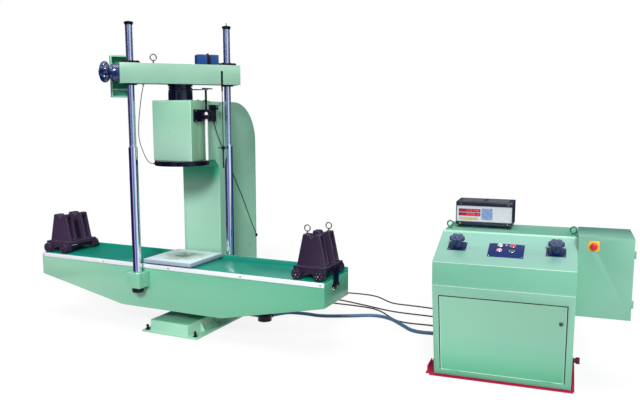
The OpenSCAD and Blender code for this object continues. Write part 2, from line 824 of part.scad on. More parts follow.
module console_door() {
    color(mint) on_front() {
        at_door_hinges() {
            barrel(1, 2, door_hinge_r, -face_gap);
            barrel(0, 3, door_pin_r);
        }
        difference() {
            union() {
                span([door_x[0] + door_gap, -2, door_up[0] + face_gap],
                    [door_x[1] - door_gap, 1, door_up[1] - door_gap]);
                span([door_x[0] + 8, 0, door_up[0] + 8], [door_x[1] - 8, 14, door_up[1] - 8]);
            }
            span([door_x[0] + 11, 1, door_up[0] + 11], [door_x[1] - 11, 15, door_up[1] - 11]);
            translate([door_x[1] - 30, -5, door_up[1] - 111]) rotate([-90, 0, 0])
                cylinder(r = 9 + slack, h = 8);
            at_door_hinges() {
                barrel(0, 1, door_hinge_r + slack, face_gap);
                barrel(2, 3, door_hinge_r + slack, face_gap);
            }
        }
    }
}

module door_lock() {
    color(steel) on_front() translate([door_x[1] - 30, 0, door_up[1] - 111]) rotate([-90, 0, 0])
        difference() {
            union() {
                translate([0, 0, -7]) cylinder(r = 11, h = 4.7);
                translate([0, 0, -3]) cylinder(r = 9, h = 16);
                translate([-7, -30, 10]) cube([14, 36, 3]);
            }
            translate([-5, -1, -8]) cube([10, 2, 3]);
        }
}

module console_eyebolts() {
    color(dark_mint) at_console() for (x = [26, console_w - 26])
        translate([x, 320, console_h]) eyebolt(19, 5);
}

module skid_frame() {
    color([0.66, 0.13, 0.29]) at_console() {
        for (y = [-14, console_d - 46]) {
            span([-30, y, 0], [console_w + 14, y + 50, 6]);
            span([-30, y + (y < 0 ? 20 : 0), 5], [console_w + 14, y + (y < 0 ? 26 : 6), foot_z]);
        }
        for (x = [-56, console_w - 40]) {
            span([x, 10, 0], [x + 60, console_d - 20, 6]);
            span([x + (x < 0 ? 54 : 0), 10, 5], [x + (x < 0 ? 60 : 6), console_d - 20, foot_z]);
        }
        span([-56, 60, 5], [-50, 200, 34]);
        span([console_w + 8, 2, 5], [console_w + 14, 30, 42]);
    }
}

// Plates on the sloping panel: one under each valve knob, one round the buttons.
module panel_plates() {
    color([0.08, 0.22, 0.52]) on_panel() difference() {
        union() {
            translate([plate_mid[0] - 103, plate_mid[1] - 76, 0]) cube([206, 152, 3]);
            for (x = valve_x) translate([x - 55, valve_up - 50, 0]) cube([110, 100, 3]);
            for (x = button_x, y = button_up) translate([x, y, 0]) cylinder(r = 17, h = 8);
            translate([405, 232, 0]) cylinder(r = 8, h = 9, $fn = 32);
        }
        for (x = button_x, y = button_up) {
            translate([x, y, 3]) cylinder(r = 13 + slack, h = 10);
            translate([x, y, -1]) cylinder(r = 8.5, h = 10);
        }
        for (x = valve_x) translate([x, valve_up, -1]) cylinder(r = 12, h = 10);
    }
}

module valve_knob(x) {
    color(black) on_panel() translate([x, valve_up, 0]) {
        translate([0, 0, -30]) cylinder(r = 9, h = 40);
        translate([0, 0, 3.5]) rotate_extrude() polygon([[0, 0], [25, 0], [20, 22], [17, 42], [0, 42]]);
        translate([0, 0, 44]) star_knob(46, 22, 6);
        translate([0, 0, 65]) cylinder(r = 16, h = 6);
    }
}

// The two valves behind the panel, on one plate under the knobs.
module valve_block() {
    color(steel) on_panel() {
        for (x = valve_x) difference() {
            translate([x - 34, valve_up - 34, -74]) cube([68, 68, 62 - 4]);
            translate([x, valve_up, -36]) cylinder(r = 9 + slack, h = 30);
        }
        for (x = valve_x) difference() {
            translate([x, valve_up, -17]) cylinder(r = 20, h = 17.1 - sheet_t);
            translate([x, valve_up, -36]) cylinder(r = 9 + slack, h = 40);
        }
        translate([valve_x[0], valve_up, -50]) rotate([0, 90, 0])
            cylinder(r = 9, h = valve_x[1] - valve_x[0]);
    }
}

module push_button(x, y, tint) {
    color(tint) on_panel() translate([x, y, 0]) {
        translate([0, 0, -24]) cylinder(r = 8, h = 32);
        translate([0, 0, 7.4]) cylinder(r = 13, h = 5);
    }
}

module indicator_case() {
    t = 4;
    at = [indicator_at[0], indicator_at[1], console_h + indicator_foot];
    color(black) at_console() {
        difference() {
            span(at, at + indicator_size);
            span(at + [t, 12, t], at + indicator_size - [t, t, t]);
            span(at + [t, -1, indicator_band[0]],
                at + [indicator_size[0] - t, 13, indicator_size[2] - indicator_band[1]]);
        }
        for (x = [24, indicator_size[0] - 24], y = [24, indicator_size[1] - 30])
            translate([at[0] + x, at[1] + y, console_h]) cylinder(r = 11, h = indicator_foot + 1);
    }
}

module indicator_panel() {
    at = [indicator_at[0] + 4, indicator_at[1] + 5, console_h + indicator_foot + indicator_band[0]];
    high = indicator_size[2] - indicator_band[0] - indicator_band[1];
    color("white") at_console() difference() {
        span(at, at + [indicator_size[0] - 8, 5, high]);
        for (z = [high - 65, high - 40]) span(at + [22, -1, z], at + [151, 3, z + 17]);
    }
}

module oil_tank() {
    color(mint) at_console() {
        difference() {
            span([150, 190, foot_z + sheet_t], [780, 560, 330]);
            span([154, 194, foot_z + sheet_t + 4], [776, 556, 326]);
        }
        translate([760, 300, 95]) rotate([0, 90, 0]) cylinder(r = 14, h = 80);
        translate([828, 300, 95]) rotate([0, 90, 0]) hex_head(22, 24);
    }
}

module pump_motor() {
    color([0.10, 0.24, 0.48]) at_console() {
        span([300, 300, 330], [600, 460, 346]);
        translate([320, 380, 440]) rotate([0, 90, 0]) cylinder(r = 88, h = 210);
        translate([529, 380, 440]) rotate([0, 90, 0]) cylinder(r = 60, h = 60);
        for (x = [345, 480]) span([x, 310, 345], [x + 30, 450, 380]);
    }
}

// The two lift-off hinges on the electric cabinet's right side, from their lower ends.
module at_hinges() {
    for (z = [cabinet_z[0] + 70, cabinet_z[1] - 70 - 2 * hinge_h])
        translate([hinge_at[0], hinge_at[1], z]) children();
}

module electric_cabinet() {
    t = 3;
    low = [console_w, cabinet_y + 18, cabinet_z[0]];
    high = [console_w + cabinet_w, cabinet_y + cabinet_d, cabinet_z[1]];
    color(mint) at_console() {
        difference() {
            span(low, high);
            span([low[0] + t, low[1] - 1, low[2] + t], high - [t, t, t]);
        }
        at_hinges() {
            cylinder(r = hinge_r, h = hinge_h);
            cylinder(r = hinge_pin_r, h = 2 * hinge_h - 2);
            span([-7, 1.5, 0], [-1, 4.5, hinge_h]);
        }
        span([low[0] + 30, high[1] - t - 6, low[2] + 50], [high[0] - 30, high[1] - t + 1, high[2] - 50]);
        for (z = [low[2] + 110, low[2] + 230])
            span([low[0] + 60, high[1] - 70, z], [high[0] - 60, high[1] - t - 5, z + 80]);
    }
}

module electric_door() {
    low = [console_w + door_gap, cabinet_y, cabinet_z[0]];
    high = [console_w + cabinet_w, cabinet_y + 18 - face_gap, cabinet_z[1]];
    color(mint) at_console() {
        difference() {
            span(low, high);
            span([low[0] + 3, low[1] + 3, low[2] + 3], [high[0] - 3, high[1] + 1, high[2] - 3]);
            translate([console_w + estop_x, cabinet_y - 5, estop_z]) rotate([-90, 0, 0])
                cylinder(r = 11 + slack, h = 20);
        }
        at_hinges() translate([0, 0, hinge_h + face_gap]) difference() {
            union() {
                cylinder(r = hinge_r, h = hinge_h);
                span([-7, -4.5, 0], [-1, -1.5, hinge_h]);
            }
            translate([0, 0, -1]) cylinder(r = hinge_pin_r + slack, h = hinge_h + 2);
        }
    }
}

module estop_button() {
    color("red") at_console() translate([console_w + estop_x, cabinet_y, estop_z])
        rotate([90, 0, 0]) {
            translate([0, 0, -30]) cylinder(r = 11, h = 38);
            translate([0, 0, 8]) rotate_extrude()
                polygon([[0, 0], [14, 0], [20, 5], [20, 10], [13, 16], [0, 17]]);
        }
}

// ---- Cables and hoses ----
module frame_cable() {
    color(black) tube(frame_cable_path, cable_r, [0, 0, -1], [0, 0, -1], guide = [1, 0, 0]);
}

module head_cable() {
    last = head_cable_path[len(head_cable_path) - 1];
    color(black) tube(head_cable_path, cable_r, [0, 0, -1], -[last[0], last[1], 0], guide = [1, 0, 0]);
}

module hose_coupling() {
    at = coupling_at;
    out = [blue_path[0][0], blue_path[0][1]] - at;
    color(black) {
        translate([at[0], at[1], 0]) cylinder(r = 55, h = 46);
        translate([at[0], at[1], 46]) hex_head(22, 14);
        translate([at[0], at[1], blue_path[0][2]]) rotate([0, 90, atan2(out[1], out[0])])
            cylinder(r = 19, h = norm(out), $fn = 32);
        translate([frame_w / 2, at[1], 28]) rotate([0, 90, 0])
            cylinder(r = 11, h = at[0] - frame_w / 2, $fn = 32);
    }
}

module blue_hose() {
    color([0.24, 0.42, 0.55])
        tube(blue_path, blue_r, [blue_path[0][0] - coupling_at[0], blue_path[0][1] - coupling_at[1], 0],
            console_in, 2);
}

module hose(i) {
    color(black) tube(hose_paths[i], hose_r, [0, 1, 0], console_in);
}

base();
levelling_bolts();
c_frame();
head_casing();
hydraulic_cylinder();  // cylinder
upper_platen();
switch_block();
stroke_tube();
limit_lever();
frame_cable();
ram();
crosshead();
crosshead_eyebolt();
drive_motor();
gear_housing();
gauge_rods();
head_cable();
clamp_knob();
column_nut(-1);  // front_nut
column_nut(1);  // rear_nut
bed();
bed_deck();
front_scale();
column_brackets();
columns();
column_ends();
lower_platen();
end_stops();
trolley(-trolley_left_x);  // trolley_left
trolley(trolley_right_x);  // trolley_right
trolley_eyebolts();
wheelset(-trolley_left_x - wheelbase / 2);  // wheelset_left_outer
wheelset(-trolley_left_x + wheelbase / 2);  // wheelset_left_inner
wheelset(trolley_right_x - wheelbase / 2);  // wheelset_right_inner
wheelset(trolley_right_x + wheelbase / 2);  // wheelset_right_outer
console_cabinet();
console_door();
door_lock();
console_eyebolts();
skid_frame();
panel_plates();
valve_knob(valve_x[0]);  // load_valve_knob
valve_knob(valve_x[1]);  // unload_valve_knob
valve_block();
push_button(button_x[0], button_up[0], "white");  // start_button
push_button(button_x[1], button_up[1], "red");  // stop_button
push_button(button_x[0], button_up[1], "white");  // raise_button
push_button(button_x[1], button_up[0], "green");  // lower_button
indicator_case();
indicator_panel();
oil_tank();
pump_motor();
electric_cabinet();
electric_door();
estop_button();
hose_coupling();
blue_hose();
hose(0);  // hose_1
hose(1);  // hose_2
hose(2);  // hose_3
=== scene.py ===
"""Spring testing machine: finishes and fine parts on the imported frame, in metres.

+X runs along the bed towards the console, +Y to the back of the C-frame, +Z up.
"""

import json
from math import atan, atan2, cos, hypot, pi, radians, sin

import bmesh
import bpy
from mathutils import Matrix, Vector

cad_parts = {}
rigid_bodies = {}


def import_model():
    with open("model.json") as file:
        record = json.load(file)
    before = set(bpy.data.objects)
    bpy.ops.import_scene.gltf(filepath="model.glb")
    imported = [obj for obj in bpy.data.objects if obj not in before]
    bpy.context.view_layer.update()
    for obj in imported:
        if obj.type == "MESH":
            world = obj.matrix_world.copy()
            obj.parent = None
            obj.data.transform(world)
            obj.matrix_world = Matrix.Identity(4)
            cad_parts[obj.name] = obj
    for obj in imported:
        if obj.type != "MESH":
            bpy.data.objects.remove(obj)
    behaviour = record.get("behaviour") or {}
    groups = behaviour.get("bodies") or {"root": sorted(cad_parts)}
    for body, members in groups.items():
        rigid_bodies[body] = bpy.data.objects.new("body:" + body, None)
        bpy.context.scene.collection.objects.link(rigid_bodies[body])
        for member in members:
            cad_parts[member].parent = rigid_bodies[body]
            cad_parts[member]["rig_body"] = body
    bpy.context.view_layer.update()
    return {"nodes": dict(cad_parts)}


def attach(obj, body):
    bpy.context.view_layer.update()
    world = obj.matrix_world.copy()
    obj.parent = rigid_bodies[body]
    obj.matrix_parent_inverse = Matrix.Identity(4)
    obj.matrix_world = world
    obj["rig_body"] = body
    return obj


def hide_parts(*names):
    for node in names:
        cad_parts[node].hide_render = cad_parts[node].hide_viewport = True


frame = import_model()
nodes = frame["nodes"]

MM = 0.001


# ---- Camera ----
def linked(name, data):
    """An object of its data, in the scene."""
    made = bpy.data.objects.new(name, data)
    bpy.context.scene.collection.objects.link(made)
    return made


camera_data = bpy.data.cameras.new("camera")
camera_data.sensor_width = 36
camera_data.lens = 38.24
camera = linked("camera", camera_data)
camera.location = (3.042, -4.164, 1.608)
camera.rotation_euler = (radians(82.3), 0, radians(24.7))
bpy.context.scene.camera = camera


# ---- Places of the console, the columns and the crosshead ----
def shift(x=0.0, y=0.0, z=0.0):
    return Matrix.Translation((x, y, z))


def turn(degrees, axis):
    return Matrix.Rotation(radians(degrees), 4, axis)


# The console's side outline in its own frame: foot, crease, nose, ridge and top.
FOOT_IN, FOOT_UP, CREASE_UP = 0.008, 0.014, 0.612
NOSE_OUT, NOSE_UP = 0.148, 0.755
RIDGE_IN, TOP_UP = 0.2, 0.884
FRONT_LENGTH = hypot(NOSE_OUT - FOOT_IN, CREASE_UP - FOOT_UP)
COLUMN_X, COLUMN_Y = 0.242, 0.256

at_console = shift(1.985, -0.154) @ turn(4.5, "Z")
front_tilt = atan((NOSE_OUT - FOOT_IN) / (CREASE_UP - FOOT_UP))
panel_tilt = atan((TOP_UP - NOSE_UP) / (RIDGE_IN + NOSE_OUT))
on_front = at_console @ shift(0, 0, FOOT_UP) @ Matrix.Rotation(front_tilt, 4, "X")
on_panel = at_console @ shift(0, -NOSE_OUT, NOSE_UP) @ Matrix.Rotation(panel_tilt, 4, "X")
on_diagonal = Matrix.Rotation(atan2(COLUMN_Y, COLUMN_X), 4, "Z")
front_column = shift(-COLUMN_X, -COLUMN_Y)
rear_column = shift(COLUMN_X, COLUMN_Y)


# ---- Mesh helpers ----
def mesh_of(name, bm, *finishes):
    """An object of a bmesh with its finishes."""
    mesh = bpy.data.meshes.new(name)
    bm.to_mesh(mesh)
    bm.free()
    for finish in finishes:
        mesh.materials.append(finish)
    return linked(name, mesh)


def piece(name, bm, slot, *finishes, node=None, body=None, smooth=35):
    """An object standing for a CAD node and riding on its body, or only riding on a body."""
    made = mesh_of(name, bm, *finishes)
    made.data.polygons.foreach_set("use_smooth", [True] * len(made.data.polygons))
    made.data.set_sharp_from_angle(angle=radians(smooth))
    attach(made, body or nodes[node]["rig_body"])
    if node:
        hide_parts(node)
    return made


def joined(*parts):
    """One bmesh of several."""
    whole = bmesh.new()
    for part in parts:
        mesh = bpy.data.meshes.new("part")
        part.to_mesh(mesh)
        part.free()
        whole.from_mesh(mesh)
        bpy.data.meshes.remove(mesh)
    return whole


def placed(bm, *places):
    """A bmesh moved by one matrix, or repeated at several."""
    if len(places) == 1:
        bmesh.ops.transform(bm, matrix=places[0], verts=bm.verts)
        return bm
    copies = []
    for place in places:
        copy = bm.copy()
        bmesh.ops.transform(copy, matrix=place, verts=copy.verts)
        copies.append(copy)
    bm.free()
    return joined(*copies)


def finish_faces(bm, number):
    """Give every face of a bmesh one of its piece's finishes, by number."""
    for face in bm.faces:
        face.material_index = number
    return bm


def bevelled(bm, width, angle=25, segments=2, edge_wear_and_highlight=0):
    """Round every edge sharper than the angle; the new faces take the finish numbered
    edge_wear_and_highlight, for worn paint and painted edge highlights.
    """
    sharp = [e for e in bm.edges if len(e.link_faces) == 2 and e.calc_face_angle(0) > radians(angle)]
    made = bmesh.ops.bevel(
        bm, geom=sharp, offset=width, segments=segments, profile=0.5,
        affect="EDGES", clamp_overlap=True, material=-1,
    )
    if edge_wear_and_highlight:
        for face in made["faces"]:
            face.material_index = edge_wear_and_highlight
    return bm


def block(low, high, round_by=0.0, segments=2):
    """A block between two corners, its edges rounded."""
    bm = bmesh.new()
    bmesh.ops.create_cube(bm, size=1)
    low, high = Vector(low), Vector(high)
    middle = (low + high) / 2
    stretch = Matrix.Diagonal((*(high - low), 1))
    bmesh.ops.transform(bm, matrix=Matrix.Translation(middle) @ stretch, verts=bm.verts)
    if round_by:
        bevelled(bm, round_by, segments=segments)
    return bm


def revolved(bm, geometry, steps):
    """Turn a bmesh's points and edges about the Z axis."""
    bmesh.ops.spin(
        bm, geom=geometry, cent=(0, 0, 0), axis=(0, 0, 1), angle=2 * pi, steps=steps, use_merge=True,
    )
    bmesh.ops.remove_doubles(bm, verts=bm.verts, dist=1e-6)
    bmesh.ops.recalc_face_normals(bm, faces=bm.faces)
    return bm


def lathe(outline, steps, closed=False):
    """Turn an outline of (radius, height) about the Z axis."""
    bm = bmesh.new()
    points = [bm.verts.new((r, 0, z)) for r, z in outline]
    ends = points[1:] + points[:1] if closed else points[1:]
    return revolved(bm, points + [bm.edges.new(pair) for pair in zip(points, ends)], steps)


def spun(outline, steps=64, closed=False):
    """Turn an outline in millimetres about the Z axis."""
    return lathe([(r * MM, z * MM) for r, z in outline], steps, closed)


def rod(r, low, high, chamfer=0.0, steps=48):
    """A round bar along Z."""
    if not chamfer:
        return lathe([(0, low), (r, low), (r, high), (0, high)], steps)
    return lathe([
        (0, low), (r - chamfer, low), (r, low + chamfer), (r, high - chamfer),
        (r - chamfer, high), (0, high),
    ], steps)


def hexagon(r, low, high, chamfer=0.0008):
    """A hexagon head or nut along Z, across corners twice r."""
    bm = bmesh.new()
    bmesh.ops.create_cone(bm, cap_ends=True, segments=6, radius1=r, radius2=r, depth=high - low)
    bmesh.ops.translate(bm, vec=(0, 0, (high + low) / 2), verts=bm.verts)
    return bevelled(bm, chamfer, 20)


def socket_screw(r, h):
    """A cap screw's head with its hexagon socket, standing on z = 0."""
    return lathe([
        (0, 0), (r, 0), (r, h - 0.12 * r), (r * 0.88, h), (r * 0.58, h), (r * 0.58, h * 0.45), (0, h * 0.45),
    ], 24)


def ring_bolt(ring_r, rod_r, neck=0.0):
    """A lifting eyebolt standing on z = 0."""
    foot_up = neck + rod_r * 2.4
    base = lathe([
        (0, 0), (ring_r * 0.6, 0), (ring_r * 0.62, rod_r * 0.3), (ring_r * 0.6, rod_r),
        (ring_r * 0.5, rod_r * 1.2), (rod_r * 1.3, rod_r * 1.6), (rod_r * 1.1, foot_up + 0.001),
        (0, foot_up + 0.001),
    ], 32)
    loop = bmesh.new()
    bmesh.ops.create_circle(loop, segments=16, radius=rod_r, matrix=shift(ring_r) @ turn(90, "X"))
    revolved(loop, loop.verts[:] + loop.edges[:], 40)
    return joined(base, placed(loop, shift(0, 0, foot_up + ring_r) @ turn(90, "X")))


def copy_of(node):
    """A CAD node's mesh, merged into whole faces."""
    bm = bmesh.new()
    bm.from_mesh(nodes[node].data)
    bmesh.ops.remove_doubles(bm, verts=bm.verts, dist=2e-6)
    bmesh.ops.dissolve_limit(
        bm, angle_limit=radians(0.5), use_dissolve_boundaries=False,
        verts=bm.verts, edges=bm.edges, delimit=set(),
    )
    return bm


def smooth_route(points):
    """Points of a smooth curve through a route given in millimetres."""
    p = [Vector(v) * MM for v in points]
    route = []
    steps = 6
    for i in range(len(p) - 1):
        a = p[i - 1] if i else 2 * p[0] - p[1]
        d = p[i + 2] if i + 2 < len(p) else 2 * p[i + 1] - p[i]
        for k in range(steps):
            t = k / steps
            route.append(0.5 * (
                2 * p[i] + t * (p[i + 1] - a) + t * t * (2 * a - 5 * p[i] + 4 * p[i + 1] - d)
                + t ** 3 * (3 * p[i] - a - 3 * p[i + 1] + d)
            ))
    return route + [p[-1]]


def repaint(made, finish, chosen):
    """Give the faces of a piece that are chosen another finish."""
    made.data.materials.append(finish)
    number = len(made.data.materials) - 1
    for face in made.data.polygons:
        if chosen(face.center, face.normal):
            face.material_index = number


# ---- Finishes ----
class Tree:
    """The node tree of a material or the world, with short ways to add to it."""

    def __init__(self, owner):
        owner.use_nodes = True
        self.tree = owner.node_tree
        self.tree.nodes.clear()

    def add(self, kind, inputs=None, **settings):
        """A node with the values of its inputs and its settings."""
        node = self.tree.nodes.new(kind)
        for key, value in settings.items():
            setattr(node, key, value)
        for key, value in (inputs or {}).items():
            node.inputs[key].default_value = value
        return node

    def link(self, a, out, b, into):
        self.tree.links.new(a.outputs[out], b.inputs[into])

    def seen(self):
        """1 for the camera and for reflections, 0 for light."""
        path = self.add("ShaderNodeLightPath")
        node = self.add("ShaderNodeMath", operation="MAXIMUM")
        self.link(path, "Is Camera Ray", node, 0)
        self.link(path, "Is Glossy Ray", node, 1)
        return node


class Nodes(Tree):
    """A material's node tree."""

    def __init__(self, name):
        self.material = bpy.data.materials.new(name)
        super().__init__(self.material)
        self.out = self.add("ShaderNodeOutputMaterial")
        self.shader = self.add("ShaderNodeBsdfPrincipled")
        self.link(self.shader, "BSDF", self.out, "Surface")
        self.place = self.add("ShaderNodeTexCoord")

    def set(self, **values):
        """Set the shader's own sockets, their names' spaces written as underscores."""
        for socket, value in values.items():
            self.shader.inputs[socket.replace("_", " ")].default_value = value

    def scaled(self, scale):
        """Object coordinates, scaled."""
        node = self.add("ShaderNodeMapping", {"Scale": scale})
        self.link(self.place, "Object", node, "Vector")
        return node

    def noise(self, scale, detail=3, rough=0.5, stretch=None):
        """Noise on object coordinates, stretched along an axis if asked."""
        node = self.add("ShaderNodeTexNoise", {"Scale": scale, "Detail": detail, "Roughness": rough})
        source, out = (self.scaled(stretch), "Vector") if stretch else (self.place, "Object")
        self.link(source, out, node, "Vector")
        return node

    def ramp(self, source, out, stops):
        """A colour ramp of (position, colour) over a source."""
        node = self.add("ShaderNodeValToRGB")
        band = node.color_ramp
        while len(band.elements) < len(stops):
            band.elements.new(0.5)
        for element, (position, colour) in zip(band.elements, stops):
            element.position = position
            element.color = (*colour, 1)
        self.link(source, out, node, "Fac")
        return node

    def span(self, source, out, low, high, from_low=0.3, from_high=0.7):
        """A source's values spread over a range."""
        node = self.add("ShaderNodeMapRange", {
            "From Min": from_low, "From Max": from_high, "To Min": low, "To Max": high,
        })
        self.link(source, out, node, "Value")
        return node

    def darken(self, base, by):
        """One colour ramp multiplied by another, as the base colour."""
        node = self.add("ShaderNodeMix", {0: 1.0}, data_type="RGBA", blend_type="MULTIPLY")
        self.link(base, "Color", node, 6)
        self.link(by, "Color", node, 7)
        self.link(node, 2, self.shader, "Base Color")

    def tint(self, source, dark, light):
        """A base colour between two, by a source."""
        node = self.ramp(source, "Fac", [(0.3, dark), (0.7, light)])
        self.link(node, "Color", self.shader, "Base Color")
        return node

    def roughness(self, source, low, high):
        """The shader's roughness, by a source."""
        self.link(self.span(source, "Fac", low, high), "Result", self.shader, "Roughness")

    def bump(self, source, distance):
        """A fine relief over the skin, by a source."""
        node = self.add("ShaderNodeBump", {"Distance": distance, "Strength": 1.0})
        self.link(source, "Fac", node, "Height")
        self.link(node, "Normal", self.shader, "Normal")

    def glow(self, colour):
        """A plain emission."""
        return self.add("ShaderNodeEmission", {"Color": (*colour, 1), "Strength": 1})


def shade(colour, by):
    """A colour made darker or lighter."""
    return tuple(min(1.0, max(0.0, c * by)) for c in colour)


def enamel(name, colour=None, rough=0.3, coat=0.3, peel=0.000012, fade=None, shine=0.5):
    """Sprayed enamel: orange peel, slight clouding and rubbed patches.

    A fade is an axis and the (place, colour) stops along it, in metres, instead of one colour.
    """
    m = Nodes(name)
    cloud = m.noise(2.2, 4)
    if fade:
        axis, stops = fade
        low, high = stops[0][0], stops[-1][0]
        split = m.add("ShaderNodeSeparateXYZ")
        m.link(m.place, "Object", split, "Vector")
        along = m.span(split, axis, 0, 1, low, high)
        base = m.ramp(along, "Result", [((at - low) / (high - low), c) for at, c in stops])
        m.darken(base, m.ramp(cloud, "Fac", [(0.3, (0.95,) * 3), (0.7, (1, 1, 1))]))
    else:
        m.tint(cloud, shade(colour, 0.95), shade(colour, 1.05))
    m.roughness(m.noise(5), rough * 0.9, rough * 1.15)
    m.bump(m.noise(520, 2, 0.4), peel)
    m.set(Specular_IOR_Level=shine, Coat_Weight=coat, Coat_Roughness=0.12)
    return m.material


def metal(name, colour, rough=0.25, grain=(60, 60, 60), depth=0.00001, vary=0.06):
    """Bare metal with the lines of its last cut."""
    m = Nodes(name)
    m.set(Metallic=1)
    lines = m.noise(6, 5, 0.6, grain)
    m.tint(lines, shade(colour, 1 - vary), shade(colour, 1 + vary * 0.5))
    m.roughness(m.noise(7, 4), rough * 0.8, rough * 1.3)
    m.bump(lines, depth)
    return m.material


def brushed(name, colour, rough, grain, stain=None, reach=0.3):
    """Plate worn pale by use, with its grinding lines and, if asked, oily streaks round its middle."""
    m = Nodes(name)
    m.set(Metallic=0.1)
    lines = m.noise(6, 5, 0.6, grain)
    tone = m.tint(lines, shade(colour, 0.9), shade(colour, 1.05))
    if stain:
        middle = m.add("ShaderNodeTexGradient", gradient_type="SPHERICAL")
        m.link(m.scaled((1 / reach, 1 / reach, 0)), "Vector", middle, "Vector")
        mixed = m.add("ShaderNodeMath", operation="MULTIPLY")
        m.link(middle, "Fac", mixed, 0)
        m.link(m.noise(8, 6, 0.7, (1, 2.2, 1)), "Fac", mixed, 1)
        m.darken(tone, m.ramp(mixed, "Value", [
            (0.21, (1, 1, 1)), (0.31, shade(stain, 2.4)), (0.35, (0.72, 0.8, 0.84)), (0.42, stain),
        ]))
    m.roughness(m.noise(9, 4), rough * 0.8, rough * 1.3)
    m.bump(lines, 0.000005)
    return m.material


def moulded(name, colour, rough=0.3, depth=0.00001, shine=0.5):
    """Moulded plastic or rubber with a fine skin."""
    m = Nodes(name)
    cloud = m.noise(30)
    m.tint(cloud, shade(colour, 0.97), shade(colour, 1.03))
    m.roughness(cloud, rough * 0.9, rough * 1.15)
    m.bump(m.noise(900, 2), depth)
    m.set(Specular_IOR_Level=shine)
    return m.material


def lit(name, colour, strength):
    """A lamp or lit figure behind a clear skin."""
    m = Nodes(name)
    tone = m.tint(m.noise(400, 2), shade(colour, 0.85), colour)
    m.link(tone, "Color", m.shader, "Emission Color")
    m.set(Emission_Strength=strength, Roughness=0.2)
    return m.material


# Enamels
mint = enamel("mint_enamel", (0.29, 0.585, 0.42))
# Painted shade: the head's paint is lighter at its bottom and darker towards its top.
head_mint_shade_fade = enamel("head_mint_painted_shade_enamel", fade=(
    "Z", [(1.28, (0.39, 0.67, 0.52)), (1.42, (0.37, 0.64, 0.49)), (1.6, (0.29, 0.57, 0.41))],
))
# A darker copy of the mint for the head's +X side: painted shade.
head_side_painted_shade = enamel("head_side_painted_shade_enamel", (0.215, 0.45, 0.285))
beam_mint = enamel("beam_mint_enamel", (0.268, 0.51, 0.375))
base_top_painted_shadow = enamel("base_top_painted_shadow_enamel", (0.13, 0.37, 0.245))
# Painted shadow on the C-frame's front: deep dark green just under the head, with a painted lighter band
# lower down.
throat_painted_shadow = enamel("throat_painted_shadow_enamel", fade=(
    "Z", [(0.55, (0.31, 0.585, 0.43)), (0.9, (0.38, 0.66, 0.505)), (1.08, (0.33, 0.62, 0.46)),
          (1.18, (0.07, 0.5, 0.28)), (1.28, (0.004, 0.42, 0.21))],
))
# Painted shade: the bed's paint darkens from its left end towards the console.
bed_mint_shade_fade = enamel("bed_mint_painted_shade_enamel", fade=(
    "X", [(-1.25, (0.335, 0.63, 0.45)), (-0.2, (0.2, 0.53, 0.36)), (1.25, (0.105, 0.42, 0.25))],
))
# Painted light and shade by height: darker towards the foot, a darker band on the nose, a darker panel and a
# lighter top.
console_mint_light_and_shade = enamel("console_mint_painted_light_enamel", fade=(
    "Z", [(0.02, (0.13, 0.47, 0.29)), (0.25, (0.22, 0.54, 0.38)), (0.61, (0.25, 0.56, 0.41)),
          (0.625, (0.185, 0.5, 0.34)), (0.75, (0.185, 0.5, 0.34)), (0.765, (0.205, 0.43, 0.345)),
          (0.87, (0.215, 0.46, 0.385)), (0.882, (0.215, 0.46, 0.385)), (0.884, (0.34, 0.8, 0.55))],
))
# Painted shade: the door darkens towards its bottom.
door_mint_shade_fade = enamel("door_mint_painted_shade_enamel", fade=(
    "Z", [(0.05, (0.085, 0.41, 0.23)), (0.18, (0.19, 0.53, 0.36)), (0.3, (0.26, 0.58, 0.42)),
          (0.55, (0.32, 0.68, 0.48))],
))
cabinet_mint = enamel("cabinet_mint_enamel", (0.187, 0.447, 0.317))
# Pale mint for worn edges, also painting the highlights that edges and lips catch.
wear_and_highlight_mint = enamel("worn_and_highlit_pale_mint", (0.5, 0.76, 0.64))
teal = enamel("teal_deck_enamel", (0.004, 0.24, 0.17), coat=0)
dark_green = enamel("dark_green_enamel", (0.03, 0.36, 0.2))
eye_green = enamel("eyebolt_green_enamel", (0.01, 0.17, 0.11))
fitting_red = enamel("dark_red_fitting", (0.1, 0.004, 0.025), rough=0.4, coat=0)
crimson = enamel("crimson_skid_enamel", (0.42, 0.008, 0.06), rough=0.4, coat=0, shine=0.3)
blue_paint = enamel("motor_blue_enamel", (0.006, 0.055, 0.22), coat=0.1, shine=0.3)
blue_plate = enamel("blue_plate_enamel", (0.003, 0.016, 0.115), rough=0.35, coat=0, shine=0.15)
navy_plate = enamel("navy_plate_enamel", (0.004, 0.01, 0.065), rough=0.35, coat=0, shine=0.15)
black_gloss = enamel("black_gloss_enamel", (0.004, 0.003, 0.012), rough=0.2, coat=0.05, shine=0.22)
black_shine = enamel("black_bright_enamel", (0.003, 0.003, 0.014), rough=0.12, coat=0.1, shine=0.45)
case_black = enamel("instrument_case_enamel", (0.008, 0.008, 0.02), rough=0.35, coat=0.1, peel=0.0001)
# Painted shade: the black castings are lighter at the left trolley and darker at the right.
black_cast_shade_fade = enamel(
    "black_casting_enamel_painted_shade", rough=0.42, coat=0, peel=0.0002, shine=0.25,
    fade=("X", [(-1.2, (0.038, 0.021, 0.052)), (1.2, (0.021, 0.011, 0.032))]),
)
# Pale edges of the black castings: wear, also painting the highlights their edges catch.
cast_wear_and_highlight = enamel("black_casting_wear_and_highlight", (0.3, 0.25, 0.36), rough=0.42, coat=0)

